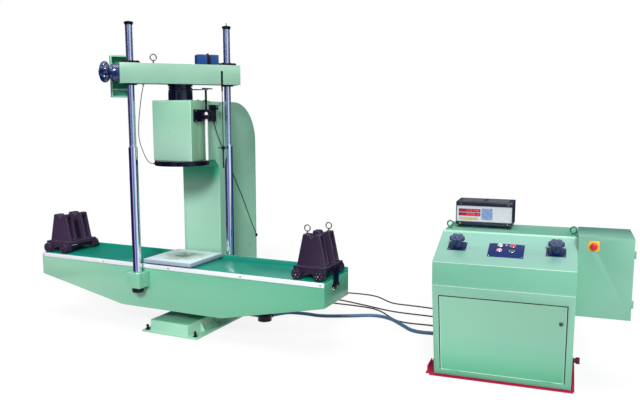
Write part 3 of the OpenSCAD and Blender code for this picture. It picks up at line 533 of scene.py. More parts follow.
# Metals
FINE = (20, 20, 20)
PLATE_GRAIN = (3, 90, 90)
chrome = metal("hard_chrome", (0.8, 0.82, 0.88), rough=0.09, grain=(40, 40, 2), depth=0.000002, vary=0.02)
thread_steel = metal(
    "threaded_steel", (0.66, 0.72, 0.82), rough=0.14, grain=(60, 60, 4), depth=0.0000005,
)
strip_steel = brushed("bright_strip_steel", (0.84, 0.88, 0.92), rough=0.38, grain=(2, 80, 80))
edge_steel = brushed("plate_edge_steel", (0.34, 0.42, 0.52), rough=0.5, grain=PLATE_GRAIN)
ground = brushed(
    "ground_plate_steel", (0.66, 0.8, 0.86), rough=0.5, grain=PLATE_GRAIN,
    stain=(0.26, 0.27, 0.15),
)
eye_steel = metal("dull_eye_steel", (0.16, 0.15, 0.13), rough=0.35, grain=FINE, depth=0.000003)
lock_steel = metal("dull_lock_steel", (0.05, 0.09, 0.08), rough=0.4, grain=FINE, depth=0.000003)
bright = metal("plated_steel", (0.75, 0.75, 0.74), rough=0.2, grain=FINE, depth=0.000003)

# Plastics and rubbers
navy_gloss = moulded("gloss_black_moulding", (0.002, 0.018, 0.095), 0.1, depth=0.000002, shine=0.8)
white_plastic = moulded("white_moulding", (0.575, 0.57, 0.625))
rod_white = moulded("white_scale_tube", (0.85, 0.84, 0.86), 0.2)
red_plastic = moulded("red_moulding", (0.62, 0.01, 0.03), 0.25)
green_plastic = moulded("green_moulding", (0.008, 0.07, 0.045), 0.25)
pink_plastic = moulded("rose_moulding", (0.75, 0.42, 0.52))
yellow_plastic = moulded("yellow_moulding", (0.8, 0.45, 0.02), 0.35)
gap_shadow_black = moulded("door_gap_shadow_rubber", (0.006, 0.022, 0.016), 0.6)
black_rubber = moulded("black_cable_rubber", (0.01, 0.01, 0.012), 0.5)
blue_rubber = moulded("blue_hose_rubber", (0.03, 0.1, 0.19), 0.45)
display_red = moulded("dark_red_window", (0.38, 0.008, 0.035), 0.25)
lit_red = lit("lit_red_segment", (0.9, 0.1, 0.12), 0.6)
label_grey = moulded("grey_label", (0.3, 0.33, 0.42), 0.4)
pad_grey = moulded("keypad_backing", (0.2, 0.3, 0.42), 0.4)
pad_blue = moulded("blue_keys", (0.12, 0.26, 0.52), 0.35)
pad_violet = moulded("violet_keys", (0.32, 0.28, 0.5), 0.35)
lens_grey = moulded("smoked_lens", (0.02, 0.03, 0.03), 0.06)

# The CAD nodes' own finishes
for finish, names in (
    (mint, "base c_frame head_casing crosshead oil_tank"),
    (bed_mint_shade_fade, "bed column_brackets"),
    (console_mint_light_and_shade, "console_cabinet"),
    (door_mint_shade_fade, "console_door"),
    (cabinet_mint, "electric_cabinet electric_door"),
    (teal, "bed_deck"),
    (dark_green, "gear_housing"),
    (eye_green, "console_eyebolts"),
    (crimson, "skid_frame"),
    (blue_paint, "drive_motor pump_motor"),
    (blue_plate, "panel_plates"),
    (black_gloss, "levelling_bolts cylinder upper_platen switch_block ram gauge_rods front_nut rear_nut"),
    (black_gloss, "column_ends end_stops hose_coupling"),
    (case_black, "indicator_case"),
    (black_cast_shade_fade, "trolley_left trolley_right wheelset_left_outer wheelset_left_inner"),
    (black_cast_shade_fade, "wheelset_right_inner wheelset_right_outer"),
    (chrome, "columns"),
    (strip_steel, "front_scale"),
    (ground, "lower_platen valve_block"),
    (eye_steel, "crosshead_eyebolt trolley_eyebolts"),
    (lock_steel, "door_lock"),
    (bright, "limit_lever"),
    (navy_gloss, "clamp_knob load_valve_knob unload_valve_knob"),
    (white_plastic, "start_button raise_button indicator_panel"),
    (rod_white, "stroke_tube"),
    (red_plastic, "stop_button estop_button"),
    (green_plastic, "lower_button"),
    (black_rubber, "frame_cable head_cable hose_1 hose_2 hose_3"),
    (blue_rubber, "blue_hose"),
):
    for name in names.split():
        data = nodes[name].data
        data.materials.clear()
        data.materials.append(finish)
        data.polygons.foreach_set("material_index", [0] * len(data.polygons))


# ---- Hoses and cables ----
def hose(name, node, route_mm, r, finish, body):
    """A round hose or cable along its route in millimetres, in place of its CAD node."""
    route = smooth_route(route_mm)
    data = bpy.data.curves.new(name, "CURVE")
    data.dimensions = "3D"
    data.bevel_depth = r
    data.bevel_resolution = 4
    data.use_fill_caps = True
    line = data.splines.new("POLY")
    line.points.add(len(route) - 1)
    for point, at in zip(line.points, route):
        point.co = (*at, 1)
    line.use_smooth = True
    data.materials.append(finish)
    made = linked(name, data)
    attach(made, body)
    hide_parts(node)


blue_route = [
    (480, 480, 24), (505, 560, 18), (560, 635, 15), (680, 660, 15), (840, 665, 15),
    (1030, 750, 15), (1210, 845, 15), (1360, 820, 15), (1500, 700, 15), (1620, 600, 15),
    (1760, 600, 15), (1900, 640, 18), (2010, 655, 40), (2075, 600, 58), (2084, 506, 60),
]
thin_routes = [
    [
        (-70, 800, 60), (-60, 900, 16), (60, 1150, 6), (380, 1390, 6), (721, 1445, 6),
        (996, 1448, 6), (1219, 1294, 6), (1400, 1280, 6), (1570, 1272, 6), (1900, 1230, 6),
        (2150, 1080, 8), (2285, 780, 36), (2303, 523, 60),
    ],
    [
        (0, 800, 60), (10, 900, 16), (150, 1080, 6), (430, 1190, 6), (720, 1200, 6),
        (1020, 1130, 6), (1320, 1047, 6), (1634, 1045, 6), (1900, 1020, 6),
        (2110, 900, 8), (2215, 710, 36), (2233, 518, 60),
    ],
    [
        (70, 800, 60), (90, 880, 16), (250, 1010, 6), (480, 1070, 6), (733, 1076, 6),
        (1143, 1053, 6), (1433, 813, 6), (1700, 810, 6), (1900, 800, 6),
        (2060, 750, 8), (2150, 650, 36), (2163, 512, 60),
    ],
]
head_route = [
    (-178, -196, 1826), (-192, -208, 1737), (-217, -212, 1563), (-219, -212, 1445),
    (-191, -210, 1357), (-163, -207, 1302), (-142, -196, 1272), (-124, -174, 1266),
]
frame_route = [
    (175, 172, 1557), (175, 205, 1480), (175, 262, 1390), (175, 346, 1275),
    (175, 433, 1141), (175, 567, 947), (175, 707, 718), (175, 778, 620),
]
hose("oil_hose", "blue_hose", blue_route, 0.014, blue_rubber, "frame")
for number, route in enumerate(thin_routes, 1):
    hose(f"signal_cable_{number}", f"hose_{number}", route, 0.006, black_rubber, "frame")
hose("crosshead_cable", "head_cable", head_route, 0.003, black_rubber, "crosshead")
hose("switch_cable", "frame_cable", frame_route, 0.003, black_rubber, "frame")


# ---- Welded and cast parts, with their edges broken ----
cast = {}
for slot, width, node, name, *finishes in (
    ("mint_paint", 0.003, "base", "base_frame", mint, wear_and_highlight_mint),
    ("mint_paint", 0.003, "c_frame", "c_frame_weldment", mint),
    ("mint_paint", 0.004, "head_casing", "head_cover", head_mint_shade_fade, wear_and_highlight_mint),
    ("mint_paint", 0.0035, "crosshead", "crosshead_beam", beam_mint, wear_and_highlight_mint),
    ("dark_green_paint", 0.004, "gear_housing", "gear_cover", dark_green),
    ("mint_paint", 0.002, "bed", "bed_weldment", bed_mint_shade_fade),
    ("mint_paint", 0.004, "column_brackets", "column_foot_brackets", bed_mint_shade_fade),
    ("dark_green_paint", 0.0012, "bed_deck", "deck_plate", teal),
    ("bright_steel", 0.0015, "front_scale", "edge_strip", strip_steel),
    ("bright_steel", 0.0015, "lower_platen", "platen_plate", ground),
    ("black_paint", 0.001, "end_stops", "end_stop_bars", black_gloss),
    ("black_casting", 0.003, "trolley_left", "left_trolley_casting", black_cast_shade_fade, cast_wear_and_highlight),
    ("black_casting", 0.003, "trolley_right", "right_trolley_casting", black_cast_shade_fade, cast_wear_and_highlight),
    ("mint_paint", 0.0024, "console_cabinet", "console_body", console_mint_light_and_shade, wear_and_highlight_mint),
    ("mint_paint", 0.0015, "electric_cabinet", "switch_cabinet", cabinet_mint, wear_and_highlight_mint),
    ("mint_paint", 0.0015, "electric_door", "switch_cabinet_door", cabinet_mint),
    ("black_paint", 0.0015, "indicator_case", "indicator_housing", case_black),
    ("red_paint", 0.0006, "skid_frame", "skid_rails", crimson),
    ("mint_paint", 0.0015, "oil_tank", "oil_tank_shell", mint),
    ("black_paint", 0.001, "switch_block", "switch_housing", black_gloss),
):
    # The rounded edges of a piece with a second finish take it: pale worn paint, also painting the highlights
    # that edges catch.
    bm = bevelled(copy_of(node), width, 28, edge_wear_and_highlight=len(finishes) - 1)
    cast[node] = piece(name, bm, slot, *finishes, node=node, smooth=30)

cable_end = Vector(frame_route[-1]) * MM
to_diagonal, to_console = on_diagonal.inverted(), at_console.inverted()
turned = to_diagonal.to_3x3()
# Painted shadow: the base's upward faces under the bed are darker.
repaint(cast["base"], base_top_painted_shadow, lambda at, out: out.z > 0.7 and at.z > 0.05)
# Painted shadow: the C-frame's front faces darken towards the head above them.
repaint(cast["c_frame"], throat_painted_shadow, lambda at, out: out.y < -0.7)
repaint(cast["c_frame"], black_gloss, lambda at, out: (at - cable_end).length < 0.022)
# Painted shade: the head's faces turned to +X are darker.
repaint(cast["head_casing"], head_side_painted_shade, lambda at, out: out.x > 0.7)
# The gear cover's outer faces turned towards the front right take the mint; its other faces keep the dark
# green.
repaint(
    cast["gear_housing"], mint,
    lambda at, out: (turned @ out).y < -0.6 and (to_diagonal @ at).y < 0.09,
)
# The rear rail's inner wall is painted with the deck.
repaint(cast["bed"], teal, lambda at, out: out.y < -0.7 and at.y > 0.15)
repaint(cast["lower_platen"], edge_steel, lambda at, out: out.z < 0.5)
repaint(cast["oil_tank"], fitting_red, lambda at, out: (to_console @ at).x > 0.8)


# ---- Columns, ram and cylinder ----
THREAD_PITCH, STEPS_PER_TURN = 0.006, 28


def thread(r, root, low, high):
    """A trapezoid thread wound on its core, along Z."""
    bm = bmesh.new()
    outline = [(root - 0.0005, 0), (root, 0.12), (r, 0.34), (r, 0.6), (root, 0.82)]
    points = [bm.verts.new((x, 0, low + z * THREAD_PITCH)) for x, z in outline]
    lines = [bm.edges.new(pair) for pair in zip(points, points[1:] + points[:1])]
    start = bm.faces.new(points)
    turns = int((high - low - THREAD_PITCH) / THREAD_PITCH)
    steps = turns * STEPS_PER_TURN
    bmesh.ops.spin(
        bm, geom=points + lines + [start], cent=(0, 0, 0), axis=(0, 0, 1),
        dvec=(0, 0, turns * THREAD_PITCH / steps), angle=2 * pi * turns, steps=steps,
    )
    bmesh.ops.recalc_face_normals(bm, faces=bm.faces)
    return bm


THREAD_FOOT = 1.3884
shank = spun([
    (0, 318), (21, 318), (22, 319), (22, 466.2), (30.5, 466.2), (32, 467.7), (32, 1386.2), (30.2, 1388),
    (24.6, 1388.5), (24.6, 2246.2), (0, 2246.2),
], 72)
for face in shank.faces:
    if face.calc_center_median().z > THREAD_FOOT:
        face.material_index = 1
ridge = finish_faces(thread(0.026, 0.0246, 1.391, 2.246), 1)
piece(
    "columns_with_thread", placed(joined(shank, ridge), front_column, rear_column), "chrome",
    chrome, thread_steel, node="columns",
)

cap = spun([
    (0, 2246), (26.5, 2246), (27.5, 2247), (32.2, 2259), (33, 2260.5), (33, 2265.5), (32, 2266.5),
    (24.5, 2268.5), (22.5, 2270), (4, 2274.5), (0, 2275),
], 48)
pin = rod(0.003, 2.269, 2.292, 0.0006, 24)
foot_nut = spun([
    (0, 314), (38, 314), (43, 319), (43, 331), (41.5, 332.5), (41.5, 335.5), (43, 337), (43, 350.5),
    (41.5, 353), (22.2, 353), (22.2, 318), (0, 318),
], 64)
ends = joined(
    placed(joined(cap.copy(), foot_nut.copy()), front_column),
    placed(joined(cap, foot_nut, pin), rear_column),
)
piece("column_caps_and_foot_nuts", ends, "black_paint", black_gloss, node="column_ends")

nut = spun([
    (26.3, 1828), (44, 1828), (46, 1830), (46, 1835.7), (44.5, 1837.7), (42, 1837.7), (42, 1980.3),
    (67.5, 1980.3), (69, 1981.8), (69, 1993.5), (66.8, 1996.3), (40, 1996.3), (37.5, 1994.8),
    (26.3, 1994.8),
], 72, closed=True)
nut = joined(nut, placed(
    socket_screw(0.0055, 0.005), *[turn(60 * k + 30, "Z") @ shift(0.056, 0, 1.996) for k in range(6)],
))
for side, column in (("front", front_column), ("rear", rear_column)):
    piece(f"{side}_column_nut", placed(nut.copy(), column), "black_paint", black_gloss, node=f"{side}_nut")

ram = spun([
    (0, 1384), (73.5, 1384), (74.9, 1385.5), (74.9, 1784), (82.5, 1784), (85, 1785.5), (87.5, 1789.5),
    (88, 1791.5), (88, 1795.5), (86.5, 1797), (80.5, 1799.2), (79, 1801), (79, 1803.5), (80.5, 1805),
    (87, 1807.2), (88, 1809), (88, 1813.5), (86.8, 1815), (80.5, 1817.2), (79, 1819), (79, 1821.5),
    (80.5, 1823), (89.2, 1825), (90, 1826.5), (90, 1836.5), (88.8, 1838), (0, 1838),
], 96)
piece("ram_with_ribbed_flange", ram, "black_paint", black_shine, node="ram")

barrel = spun([
    (0, 1334), (88, 1334), (88, 1782.5), (86.5, 1784), (76.5, 1784), (75, 1782.5), (75, 1374), (0, 1374),
], 96)
cover = finish_faces(block((-0.17, -0.117, 1.7162), (0.17, 0.125, 1.721), 0.0015), 1)
cover_screws = placed(
    socket_screw(0.009, 0.006),
    *[shift(x, y, 1.7208) for x in (-0.14, 0.14) for y in (0.02, 0.1)],
)
piece(
    "cylinder_barrel", joined(barrel, cover, cover_screws), "black_paint", black_shine, mint,
    node="cylinder",
)

gland_at = Vector(head_route[-1]) * MM
gland = rod(0.007, 0, 0.02, 0.0008, 24)
outwards = Matrix.Rotation(atan2(gland_at.y, gland_at.x), 4, "Z")
placed(gland, shift(*gland_at) @ outwards @ turn(-90, "Y"))
platen_disc = spun([
    (0, 1278), (10, 1278), (10, 1249.5), (11.5, 1248), (80, 1248), (80, 1249.5), (82, 1249.5), (82, 1248),
    (140, 1248), (140, 1249.5), (142, 1249.5), (142, 1248), (197.5, 1248), (200, 1250.5), (200, 1281.5),
    (197.5, 1284), (0, 1284),
], 96)
cut = bmesh.ops.bisect_plane(
    platen_disc, geom=platen_disc.verts[:] + platen_disc.edges[:] + platen_disc.faces[:],
    plane_co=(0, 0.176, 0), plane_no=(0, 1, 0), clear_outer=True,
)
cut_edges = [e for e in cut["geom_cut"] if isinstance(e, bmesh.types.BMEdge)]
bmesh.ops.holes_fill(platen_disc, edges=cut_edges)
piece("upper_platen_disc", joined(platen_disc, gland), "black_paint", black_gloss, node="upper_platen")

# ---- Crosshead fittings ----
beam_top = 1.98
eye = placed(ring_bolt(0.022, 0.0045, 0.013), on_diagonal @ shift(-0.188, 0, beam_top))
piece("crosshead_lifting_eye", eye, "bright_steel", eye_steel, node="crosshead_eyebolt")

motor_halves = [
    block((x0, -0.0498, beam_top), (x1, 0.0498, beam_top + 0.075), 0.004, 3)
    for x0, x1 in ((0.1202, 0.1952), (0.2208, 0.2798))
]
motor_trim = finish_faces(joined(
    block((0.1945, -0.046, beam_top), (0.2215, 0.046, beam_top + 0.0735), 0.002),
    placed(rod(0.009, 0.0735, 0.086, 0.001, 32), shift(0.208, 0, beam_top)),
    block((0.116, -0.056, beam_top), (0.284, 0.056, beam_top + 0.004), 0.001),
), 1)
piece(
    "drive_motor_cover", placed(joined(*motor_halves, motor_trim), on_diagonal), "blue_paint",
    blue_paint, black_gloss, node="drive_motor",
)


def lobed_knob(r, low, high, lobes, dip):
    """A hand knob with rounded lobes, its spindle along Z."""
    bm = bmesh.new()
    bmesh.ops.create_circle(bm, cap_ends=True, segments=lobes * 16, radius=r)
    for vert in bm.verts:
        around = atan2(vert.co.y, vert.co.x)
        vert.co *= 1 - dip + dip * abs(cos(around * lobes / 2)) ** 0.9
    grown = bmesh.ops.extrude_face_region(bm, geom=bm.faces[:])
    top = [v for v in grown["geom"] if isinstance(v, bmesh.types.BMVert)]
    bmesh.ops.translate(bm, vec=(0, 0, high - low), verts=top)
    bmesh.ops.translate(bm, vec=(0, 0, low), verts=bm.verts)
    bmesh.ops.recalc_face_normals(bm, faces=bm.faces)
    return bevelled(bm, (high - low) * 0.22, 50, 4)


def star_grip(r, low, high, lobes, dip):
    """A hand grip with full, rounded lobes, its spindle along Z."""
    h = high - low
    outline = [
        (0, 0), (0.4, 0), (0.72, 0.06), (0.92, 0.22), (1, 0.42), (0.97, 0.6), (0.84, 0.8),
        (0.62, 0.93), (0.34, 1), (0, 1),
    ]
    bm = lathe([(x * r, low + z * h) for x, z in outline], lobes * 18)
    for vert in bm.verts:
        around = atan2(vert.co.y, vert.co.x)
        vert.co.xy *= 1 - dip * (1 - abs(cos(around * lobes / 2)) ** 0.8)
    return bm


beam_half = hypot(COLUMN_X, COLUMN_Y) + 0.08
clamp = joined(
    spun([(0, 0), (60, 0), (62.5, 2.5), (62.5, 40), (58.5, 46), (46, 47), (44, 64), (0, 64)]),
    star_grip(0.08, 0.06, 0.13, 5, 0.34),
    spun([(0, 122), (24, 122), (24, 131), (20, 134), (0, 134.2)], 48),
    rod(0.015, -0.02, 0.003, 0.001),
)
placed(clamp, on_diagonal @ shift(-beam_half - 0.0003, 0, 1.913) @ turn(-90, "Y"))
piece("gear_clamp_knob", clamp, "black_plastic", navy_gloss, node="clamp_knob")

tube_x, tube_y = 0.2, 0.032
bars = joined(
    placed(rod(0.008, 1.306, 1.806, 0.001, 32), shift(tube_x, tube_y)),
    block((tube_x - 0.008, -0.008, 1.802), (tube_x + 0.008, 0.108, 1.81), 0.001),
)
arm = block((0.08, tube_y - 0.014, 1.795), (tube_x + 0.012, tube_y + 0.014, 1.803), 0.001)
piece(
    "stroke_rod_and_arm", joined(bars, finish_faces(arm, 1)), "black_paint",
    black_gloss, bright, node="gauge_rods",
)

sleeve = spun([
    (8.3, 1296), (8.3, 1636), (10, 1636), (11, 1635), (11, 1622), (12.5, 1622), (13, 1621.5),
    (13, 1616.5), (12.5, 1616), (11, 1616), (11, 1287), (10, 1286), (0, 1286), (0, 1296),
], 40)
placed(sleeve, shift(tube_x, tube_y))
piece("stroke_tube_sleeve", sleeve, "white_plastic", rod_white, node="stroke_tube")

# ---- Trolleys ----
axle_z, wheel_y = 0.5573, 0.158
wheel_bolts = placed(
    hexagon(0.0028, 0, 0.0022, 0.0003),
    *[turn(60 * k, "Z") @ shift(0.0232, 0, 0.021) for k in range(6)],
)
# The screw head stays inside the axle's end.
axle_screw = placed(hexagon(0.006, 0, 0.0045), shift(0, 0, 0.0276))
wheel = joined(spun([
    (0, 0.2), (14, 0.2), (34, 0.2), (37, 2.5), (37, 22.5), (35.5, 25.5), (29, 26), (27.5, 22.5),
    (26, 21.2), (20.5, 21.2), (18.5, 23.5), (17.5, 26), (12.5, 26), (12, 31.5), (11.2, 32), (0, 32),
], 56), finish_faces(joined(axle_screw, wheel_bolts), 1))
wheelset = joined(
    placed(wheel.copy(), shift(0, -wheel_y) @ turn(90, "X")),
    placed(wheel, shift(0, wheel_y) @ turn(-90, "X")),
    placed(rod(0.012, -wheel_y, wheel_y, 0, 32), turn(90, "X")),
)
for side, middle, outer_x in (("left", -1.128, -0.082), ("right", 1.115, 0.082)):
    for place, x in (("outer", middle + outer_x), ("inner", middle - outer_x)):
        piece(
            f"{side}_{place}_wheels", placed(wheelset.copy(), shift(x, 0, axle_z)),
            "black_casting", black_cast_shade_fade, bright, node=f"wheelset_{side}_{place}",
        )

eyes = placed(ring_bolt(0.021, 0.004, 0.008), shift(1.07, -0.08, 0.82), shift(1.157, 0.08, 0.82))
piece("tower_eyebolts", eyes, "bright_steel", eye_steel, node="trolley_eyebolts")

# ---- Bed fittings ----
strip_screws = placed(
    socket_screw(0.007, 0.003),
    *[shift(x, -0.2058, 0.503) @ turn(90, "X") for x in (-1.224, -0.612, 0, 0.612, 1.224)],
)
piece("strip_screws", strip_screws, "bright_steel", bright, body="bed")
end_bolts = placed(
    hexagon(0.011, 0, 0.009),
    *[shift(side * 1.2498, -0.06, 0.452) @ turn(side * 90, "Y") for side in (1, -1)],
)
piece("end_plate_bolts", end_bolts, "bright_steel", bright, body="bed")

# ---- Console fittings ----
eyes = placed(ring_bolt(0.019, 0.005), *[at_console @ shift(x, 0.32, 0.884) for x in (0.026, 0.779)])
piece("console_lifting_eyes", eyes, "dark_green_paint", eye_green, node="console_eyebolts")

# Six-lobed hand knobs on their cones
valve_x = (0.118, 0.687)
for name, x in zip(("load", "unload"), valve_x):
    knob = joined(
        rod(0.009, -0.03, 0.008, 0.001, 32),
        spun([(0, 3.5), (23.5, 3.5), (25, 5), (21.5, 20), (17.5, 44.5), (0, 44.5)], 48),
        lobed_knob(0.046, 0.043, 0.0665, 6, 0.24),
        spun([(0, 64), (17, 64), (16, 69), (12, 70.8), (0, 71)], 40),
    )
    placed(knob, on_panel @ shift(x, 0.195))
    piece(f"{name}ing_valve_knob", knob, "black_plastic", navy_gloss, node=f"{name}_valve_knob")

push_x, push_up = (0.369, 0.441), (0.168, 0.226)
at_lamp = shift(0.405, 0.232)
valve_plates = joined(*[block((x - 0.055, 0.145, 0.0001), (x + 0.055, 0.245, 0.003), 0.001) for x in valve_x])
collars = placed(
    spun([(13.3, 3), (13.3, 7.2), (14, 8), (16, 8), (17, 7), (17, 2.5), (13.3, 2.5)], 40),
    *[shift(x, up) for x in push_x for up in push_up],
)
corner_screws = placed(
    socket_screw(0.0032, 0.0018),
    *[shift(x, up, 0.0028) for x in (0.313, 0.501) for up in (0.109, 0.243)],
    *[shift(x + dx, up, 0.0028) for x in valve_x for dx in (-0.047, 0.047) for up in (0.153, 0.237)],
)
lamp_ring = spun([(0, 2.8), (8, 2.8), (8, 6), (7.2, 6.8), (0, 6.8)], 32)
lamp_cap = spun([(0, 6.6), (6.6, 6.6), (6, 8), (3.5, 8.9), (0, 9)], 32)
plates = joined(
    block((0.304, 0.1, 0.0001), (0.51, 0.252, 0.003), 0.001),
    finish_faces(valve_plates, 1),
    finish_faces(joined(collars, corner_screws, placed(lamp_ring, at_lamp)), 2),
    finish_faces(placed(lamp_cap, at_lamp), 3),
)
piece(
    "panel_plates_and_lamp", placed(plates, on_panel), "blue_plate",
    blue_plate, navy_plate, bright, red_plastic, node="panel_plates",
)

# Round push buttons with dished faces
for name, x, up, finish, slot in (
    ("start", push_x[0], push_up[0], pink_plastic, "white_plastic"),
    ("stop", push_x[1], push_up[1], red_plastic, "red_plastic"),
    ("raise", push_x[0], push_up[1], white_plastic, "white_plastic"),
    ("lower", push_x[1], push_up[0], green_plastic, "green_plastic"),
):
    button = spun([
        (0, -24), (8, -24), (8, 7.4), (12.5, 7.4), (13, 7.9), (13, 11.5), (12.2, 12.4), (10.8, 12.4),
        (6, 11.8), (0, 11.6),
    ], 40)
    piece(f"button_{name}", placed(button, on_panel @ shift(x, up)), slot, finish, node=f"{name}_button")

lock = joined(
    spun([(0, -7), (9.5, -7), (11, -5.5), (11, -2.3), (0, -2.3)], 32),
    rod(0.009, -0.003, 0.013, 0.0004, 32),
    block((-0.007, -0.03, 0.01), (0.007, 0.006, 0.013), 0.0006),
)
placed(lock, on_front @ shift(0.734, 0, 0.434) @ turn(-90, "X"))
piece("door_cam_lock", lock, "bright_steel", lock_steel, node="door_lock")

estop_at = at_console @ shift(0.89, 0.06, 0.868) @ turn(90, "X")
stop_plate = joined(
    block((-0.03, -0.03, 0.0001), (0.03, 0.03, 0.0018), 0.0008),
    spun([(20.6, 1.6), (22, 1.6), (23, 2.8), (23, 5), (22.2, 6), (20.6, 6)], 48, closed=True),
)
piece("stop_switch_plate", placed(stop_plate, estop_at), "red_plastic", yellow_plastic, body="electric_door")
mushroom = spun([
    (0, -30), (10.5, -30), (11, -29.5), (11, 8), (14, 8), (18.5, 11.2), (20, 14.5), (19.8, 18.5),
    (16.5, 22.5), (10, 24.5), (0, 25),
], 56)
placed(mushroom, estop_at)
piece("stop_mushroom", mushroom, "red_plastic", red_plastic, node="estop_button")

# ---- Door of the console ----
skin = block((0.0425, -0.002, 0.0363), (0.7625, 0.001, 0.5435))
front_face = min(skin.faces, key=lambda f: f.calc_center_median().y)
outer = front_face.verts[:]
rim = bmesh.ops.inset_region(skin, faces=[front_face], thickness=0.0045)
bmesh.ops.translate(skin, vec=(0, 0.0022, 0), verts=outer)
# The door's rim takes the pale mint: a worn lip and a painted highlight.
for face in rim["faces"]:
    face.material_index = 1
skirt = [
    block((x0, 0.0008, z0), (x1, 0.014, z1)) for x0, x1, z0, z1 in (
        (0.049, 0.756, 0.044, 0.047), (0.049, 0.756, 0.534, 0.537),
        (0.049, 0.052, 0.046, 0.535), (0.753, 0.756, 0.046, 0.535),
    )
]
barrels = [
    placed(rod(r, low, high, 0.0003, 24), shift(x, -0.002, 0.036) @ turn(90, "Y"))
    for x in (0.101, 0.644) for r, low, high in ((0.003, 0.0203, 0.0397), (0.0012, 0, 0.06))
]
piece(
    "console_door_panel", placed(joined(skin, *skirt, *barrels), on_front), "mint_paint",
    door_mint_shade_fade, wear_and_highlight_mint, node="console_door",
)

# Dark rubber strips in the door's gap at its top and sides: painted shadow of the gap.
door_gap_shadow = placed(joined(
    block((0.0362, -0.0014, 0.0345), (0.0418, 0.001, 0.55), 0.0006, 1),
    block((0.7632, -0.0014, 0.0345), (0.7692, 0.001, 0.55), 0.0006, 1),
    block((0.0416, -0.0014, 0.5443), (0.7634, 0.001, 0.5502), 0.0006, 1),
), on_front)
piece("door_gap_shadow_strips", door_gap_shadow, "black_rubber", gap_shadow_black, body="frame")
# Pale strips along the ridge, the nose and the top of the lower front: painted edge highlights.
edge_highlight_strips = joined(
    placed(block((0.0005, 0.1995, 0.8838), (0.8045, 0.2105, 0.8917), 0.0015), at_console),
    placed(block((0.001, -0.1493, 0.752), (0.804, -0.146, 0.7562), 0.0012), at_console),
    placed(block(
        (0.001, -0.0013, FRONT_LENGTH - 0.0035), (0.804, 0.001, FRONT_LENGTH + 0.0005), 0.0008,
    ), on_front),
)
piece("console_edge_highlight_strips", edge_highlight_strips, "mint_paint", wear_and_highlight_mint, body="frame")

# ---- Indicator ----
case_top = 1.055
face_x, face_y, face_z = 0.054, 0.385, 0.925


def on_face(x0, x1, up0, up1, out, number, sink=0.0, round_by=0.0004):
    """A flat part on the indicator's face, measured from its lower left corner."""
    low = (face_x + x0, face_y - out, face_z + up0)
    high = (face_x + x1, face_y + sink, face_z + up1)
    return finish_faces(block(low, high, round_by, 1), number)


DIGITS = {
    "0": "abcdef", "1": "bc", "2": "abged", "3": "abgcd", "4": "fgbc", "5": "afgcd", "6": "afgedc",
    "7": "abc", "8": "abcdefg",
}


def figure(sign, x, up):
    """A seven-segment figure, as lit bars."""
    w, h, t = 0.0085, 0.0125, 0.0016
    half = h / 2
    bars = {
        "a": (0, w, h - t, h), "g": (0, w, half - t / 2, half + t / 2), "d": (0, w, 0, t),
        "f": (0, t, half, h), "b": (w - t, w, half, h), "e": (0, t, 0, half), "c": (w - t, w, 0, half),
    }
    lit_bars = [bars[letter] for letter in DIGITS[sign]]
    return [on_face(x + x0, x + x1, up + z0, up + z1, 0.0007, 2, 0.0008, 0) for x0, x1, z0, z1 in lit_bars]


# The fifth number of a part is how far it stands out, the sixth which finish below it has.
face = [block((0.0545, 0.3858, 0.9253), (0.4055, 0.3898, 1.0287), 0.0004, 1)]
for up, figures in ((0.039, "0038610"), (0.064, "0127435")):
    face.append(on_face(0.022, 0.151, up, up + 0.017, 0.0002, 1, 0.001, 0))
    face += [on_face(x0, x1, up + z0, up + z1, out, 3, 0.0008) for x0, x1, z0, z1, out in (
        (0.0145, 0.0225, -0.002, 0.019, 0.0006), (0.0205, 0.1525, 0.0165, 0.019, 0.0008),
        (0.0205, 0.1525, -0.002, 0.0005, 0.0008), (0.1505, 0.153, -0.001, 0.018, 0.0008),
    )]
    for k, sign in enumerate(figures):
        face += figure(sign, 0.066 + 0.0118 * k, up + 0.0023)
face.append(on_face(0.021, 0.136, 0.012, 0.028, 0.0005, 4, 0.0008))
for k in range(6):
    face.append(on_face(0.028 + k * 0.0175, 0.04 + k * 0.0175, 0.0155, 0.0245, 0.0012, 5, 0.0002))
face.append(on_face(0.16, 0.23, 0.015, 0.088, 0.0005, 6, 0.0008))
for row in range(5):
    for column in range(4):
        x, up = 0.1635 + column * 0.0163, 0.0185 + row * 0.0138
        keys = 7 if (row + column) % 3 else 8
        face.append(on_face(x, x + 0.0135, up, up + 0.0112, 0.0014, keys, 0.0002, 0.0008))
piece(
    "indicator_face", placed(joined(*face), at_console), "white_plastic", white_plastic,
    display_red, lit_red, case_black, label_grey, yellow_plastic, pad_grey, pad_blue, pad_violet,
    node="indicator_panel",
)

louvres = [
    block((x, 0.404 + up, case_top - 0.0004), (x + 0.14, 0.4105 + up, case_top + 0.0022), 0.0008, 1)
    for x in (0.078, 0.242) for up in (0.0125 * k for k in range(13))
]
case_screws = placed(
    socket_screw(0.0035, 0.0018),
    *[shift(x, 0.3801, z) @ turn(90, "X") for z in (1.04, 0.914) for x in (0.08, 0.38)],
)
trims = placed(joined(*louvres, finish_faces(case_screws, 1)), at_console)
piece("indicator_louvres_and_screws", trims, "black_paint", case_black, bright, body="frame")

